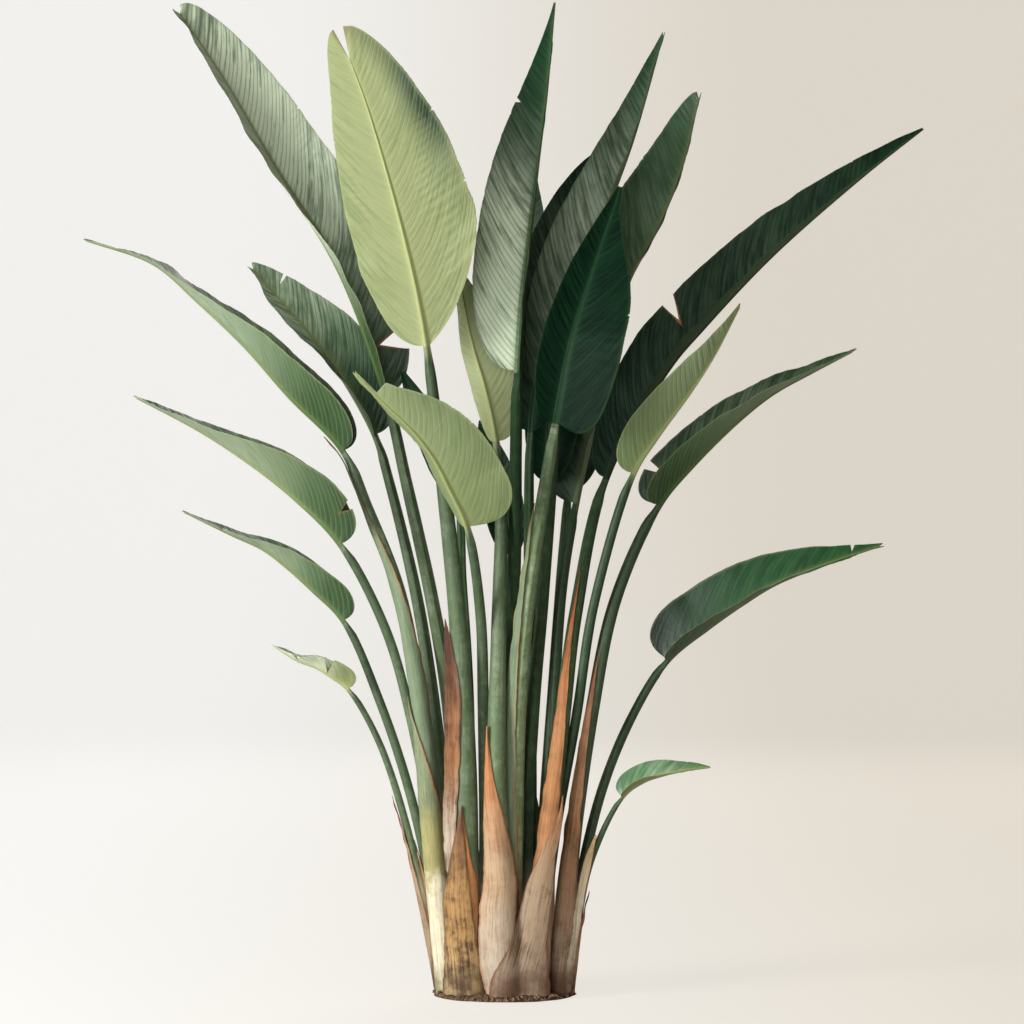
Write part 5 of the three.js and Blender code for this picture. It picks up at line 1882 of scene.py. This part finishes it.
# The broad dry sheaths, which lie loose over the stalks low in the clump.
WRAPS = (
    Wrap(
        "dry_sheath_tall_front",
        left=((-112, 250), (-120, 323), (-117, 487), (-116.5, 610), (-117, 700), (-116.5, 754)),
        right=((-98, 250), (-96, 323), (-87, 487), (-86, 610), (-100, 690), (-112, 740), (-116, 754)),
        depth=(-96, -100), hang=16, over=("leaf_pale_tall", "leaf_left_upper"), kind=Papery.BROWN, keep=2.5,
    ),
    Wrap(
        "dry_sheath_amber",
        left=((-100, 12), (-98, 150), (-92, 300), (-84, 384)),
        right=((-58, 60), (-53, 112), (-49, 186), (-53, 237), (-66, 284), (-77, 345), (-83, 384)),
        depth=(-106, -117), hang=26, over=("leaf_pale_tall",), kind=Papery.ORANGE, keep=2.5,
    ),
    Wrap(
        "dry_sheath_mottled",
        left=((-120, 10), (-117, 122), (-119, 205), (-111, 248), (-102, 298), (-91, 347), (-83, 386)),
        right=((-32, 10), (-38, 34), (-54, 112), (-59, 154), (-75, 278), (-81, 347), (-82, 386)),
        depth=(-112, -121), hang=30, over=("leaf_pale_tall", "leaf_left_upper"), kind=Papery.MOTTLED,
        keep=6.0,
    ),
    Wrap(
        "dry_sheath_centre",
        left=(
            (-34, 10), (-46, 59), (-50, 101), (-48, 180), (-41, 227), (-39, 280), (-40, 357), (-38, 436),
            (-36, 500), (-34, 543),
        ),
        right=(
            (38, 10), (32, 80), (26, 140), (24, 174), (25, 227), (21, 263), (9, 326), (-7, 384), (-20, 436),
            (-29, 500), (-33, 543),
        ),
        depth=(-128, -125), hang=24, over=("leaf_pale_inner",), kind=Papery.CREAM, keep=3.0,
    ),
    Wrap(
        "dry_sheath_cross",
        left=(
            (-29, 9), (-27, 34), (-12, 70), (1, 91), (20, 122), (27, 159), (35, 195), (51, 243), (82, 310),
            (110, 373), (116, 405),
        ),
        right=(
            (92, 9), (88, 60), (85, 122), (89, 154), (98, 227), (101, 279), (112, 332), (116, 373),
            (117, 405),
        ),
        depth=(-122, -103), hang=18, over=("leaf_pale_inner", "leaf_right_long", "leaf_dark_front"),
        kind=Papery.ROSE, keep=8.5,
    ),
    Wrap(
        "dry_sheath_back_wide",
        left=((-26, 9), (-22, 80), (-8, 160), (18, 250), (46, 340), (62, 400)),
        right=((98, 9), (97, 80), (94, 160), (87, 250), (75, 340), (63, 400)),
        depth=(-118, -146), hang=26, over=("leaf_back_left", "leaf_back_right"), kind=Papery.ROSE,
        keep=8.0, behind=True,
    ),
    Wrap(
        "dry_sheath_back_side",
        left=((-122, 9), (-124, 80), (-125, 160), (-118, 240), (-98, 320)),
        right=((-18, 9), (-27, 80), (-44, 160), (-66, 240), (-96, 320)),
        depth=(-106, -110), hang=28, over=("leaf_left_high", "leaf_left_lower"), kind=Papery.CREAM,
        keep=8.0, behind=True,
    ),
    Wrap(
        "dry_sheath_right_edge",
        left=((103, 10), (119, 78), (130, 120), (135, 151), (146, 209), (162, 277), (182, 324)),
        right=((133, 10), (143, 93), (151, 140), (159, 199), (172, 261), (184, 322)),
        depth=(-52, -40), hang=10, over=("leaf_right_upper", "leaf_right_small"), kind=Papery.PALE, keep=3.0,
    ),
)

SHEATH_FINISHES = {
    Papery.ORANGE: SheathFinish(
        "dry sheath, orange", srgb(160, 132, 110), srgb(172, 118, 70), srgb(164, 96, 48), stains=0.45
    ),
    Papery.RUST: SheathFinish(
        "dry sheath, rust", srgb(158, 138, 118), srgb(150, 108, 72), srgb(110, 62, 34), stains=0.8
    ),
    Papery.BROWN: SheathFinish(
        "dry sheath, dark brown", srgb(184, 168, 148), srgb(142, 94, 54), srgb(84, 44, 24),
        srgb(70, 36, 22), srgb(54, 30, 18), 0.85, (0.1, 0.45, 0.5, 0.9),
    ),
    Papery.LIVING: SheathFinish(
        "living sheath", srgb(166, 152, 124), srgb(116, 134, 106), srgb(104, 122, 92),
        srgb(170, 104, 54), srgb(70, 90, 66), 0.3,
    ),
    Papery.CREAM: SheathFinish(
        "dry sheath, cream", srgb(180, 168, 150), srgb(184, 156, 124), srgb(184, 122, 72),
        srgb(144, 80, 44), srgb(116, 78, 52), 0.5, (0.12, 0.42, 0.45, 0.85),
    ),
    Papery.MOTTLED: SheathFinish(
        "dry sheath, mottled", srgb(188, 162, 116), srgb(170, 130, 76), srgb(108, 68, 38),
        srgb(70, 42, 24), srgb(62, 38, 22), 1.0, (0.05, 0.4, 0.45, 0.9),
    ),
    Papery.TAN: SheathFinish(
        "dry sheath, tan", srgb(180, 160, 136), srgb(170, 136, 100), srgb(156, 106, 66)
    ),
    Papery.ROSE: SheathFinish(
        "dry sheath, rose", srgb(150, 132, 112), srgb(158, 136, 110), srgb(156, 110, 70),
        srgb(108, 56, 32), srgb(88, 58, 40), 0.8,
    ),
    Papery.PALE: SheathFinish(
        "dry sheath, pale", srgb(196, 184, 162), srgb(212, 202, 178), srgb(190, 164, 120),
        srgb(184, 108, 52), stains=0.4,
    ),
    Papery.SEAMED: SheathFinish(
        "living sheath, yellow foot", srgb(224, 214, 188), srgb(156, 150, 96), srgb(118, 132, 102),
        srgb(170, 96, 52), srgb(112, 112, 72), 0.3, (0.36, 0.44, 0.52, 0.7),
    ),
}


def dress(thing: bpy.types.Object, material: bpy.types.Material, slot: str, *nodes: str) -> None:
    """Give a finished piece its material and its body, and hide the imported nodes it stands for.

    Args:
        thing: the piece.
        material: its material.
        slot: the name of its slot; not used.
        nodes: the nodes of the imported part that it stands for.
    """
    thing.data.materials.append(material)
    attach(thing, "root")
    if nodes:
        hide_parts(*nodes)
    log.info("%s: %d faces", thing.name, len(thing.data.polygons))


def main() -> None:
    """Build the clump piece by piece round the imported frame."""
    logging.basicConfig(level=logging.INFO, format="%(name)s: %(message)s")
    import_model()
    Studio().build()
    effects = Effects.make()
    soil = SoilFinish().build(effects)
    crown = Crown()
    dress(crown.skin().build(), soil, "root", "root_crown")
    dress(crown.root_stubs().build(), soil, "root")
    # Default finish: pale wax, with a painted sheen on the upper faces.
    waxy = LeafFinish().build(effects)
    # Deep green finish: partly the leaves' own colour, partly painted shade.
    deep = LeafFinish(
        "living leaf, deep green", srgb(2, 24, 13), srgb(18, 58, 32), rib_deep=srgb(26, 54, 34),
        rib_fresh=srgb(70, 96, 56), margin=srgb(54, 78, 46), gloss=(0.55, 0.5), specular=0.07,
    ).build(effects)
    for leaf in LEAVES:
        living = deep if leaf.name in SHADED_DEEP_GREEN else waxy
        slot = "leaf_pale" if "pale" in leaf.name else "leaf_dark"
        dress(leaf.skin().build(), living, slot, leaf.name)
    by_name = {leaf.name: leaf for leaf in LEAVES}
    papers = {kind: finish.build(effects) for kind, finish in SHEATH_FINISHES.items()}
    wrapped = {wrap.name.replace("dry_", "") for wrap in WRAPS}
    for sheath in SHEATHS:
        if sheath.name not in wrapped:
            skin = sheath.skin(by_name[sheath.on])
            dress(skin.build(), papers[sheath.kind], "sheath_dry", sheath.name)
    for seam in SEAMS:
        dress(seam.skin(by_name[seam.on]).build(), papers[seam.kind], "sheath_dry")
    nodes = {sheath.name for sheath in SHEATHS}
    for wrap in WRAPS:
        node = wrap.name.replace("dry_", "")
        dress(wrap.skin(by_name).build(), papers[wrap.kind], "sheath_dry", *({node} & nodes))


if __name__ == "__main__":
    main()
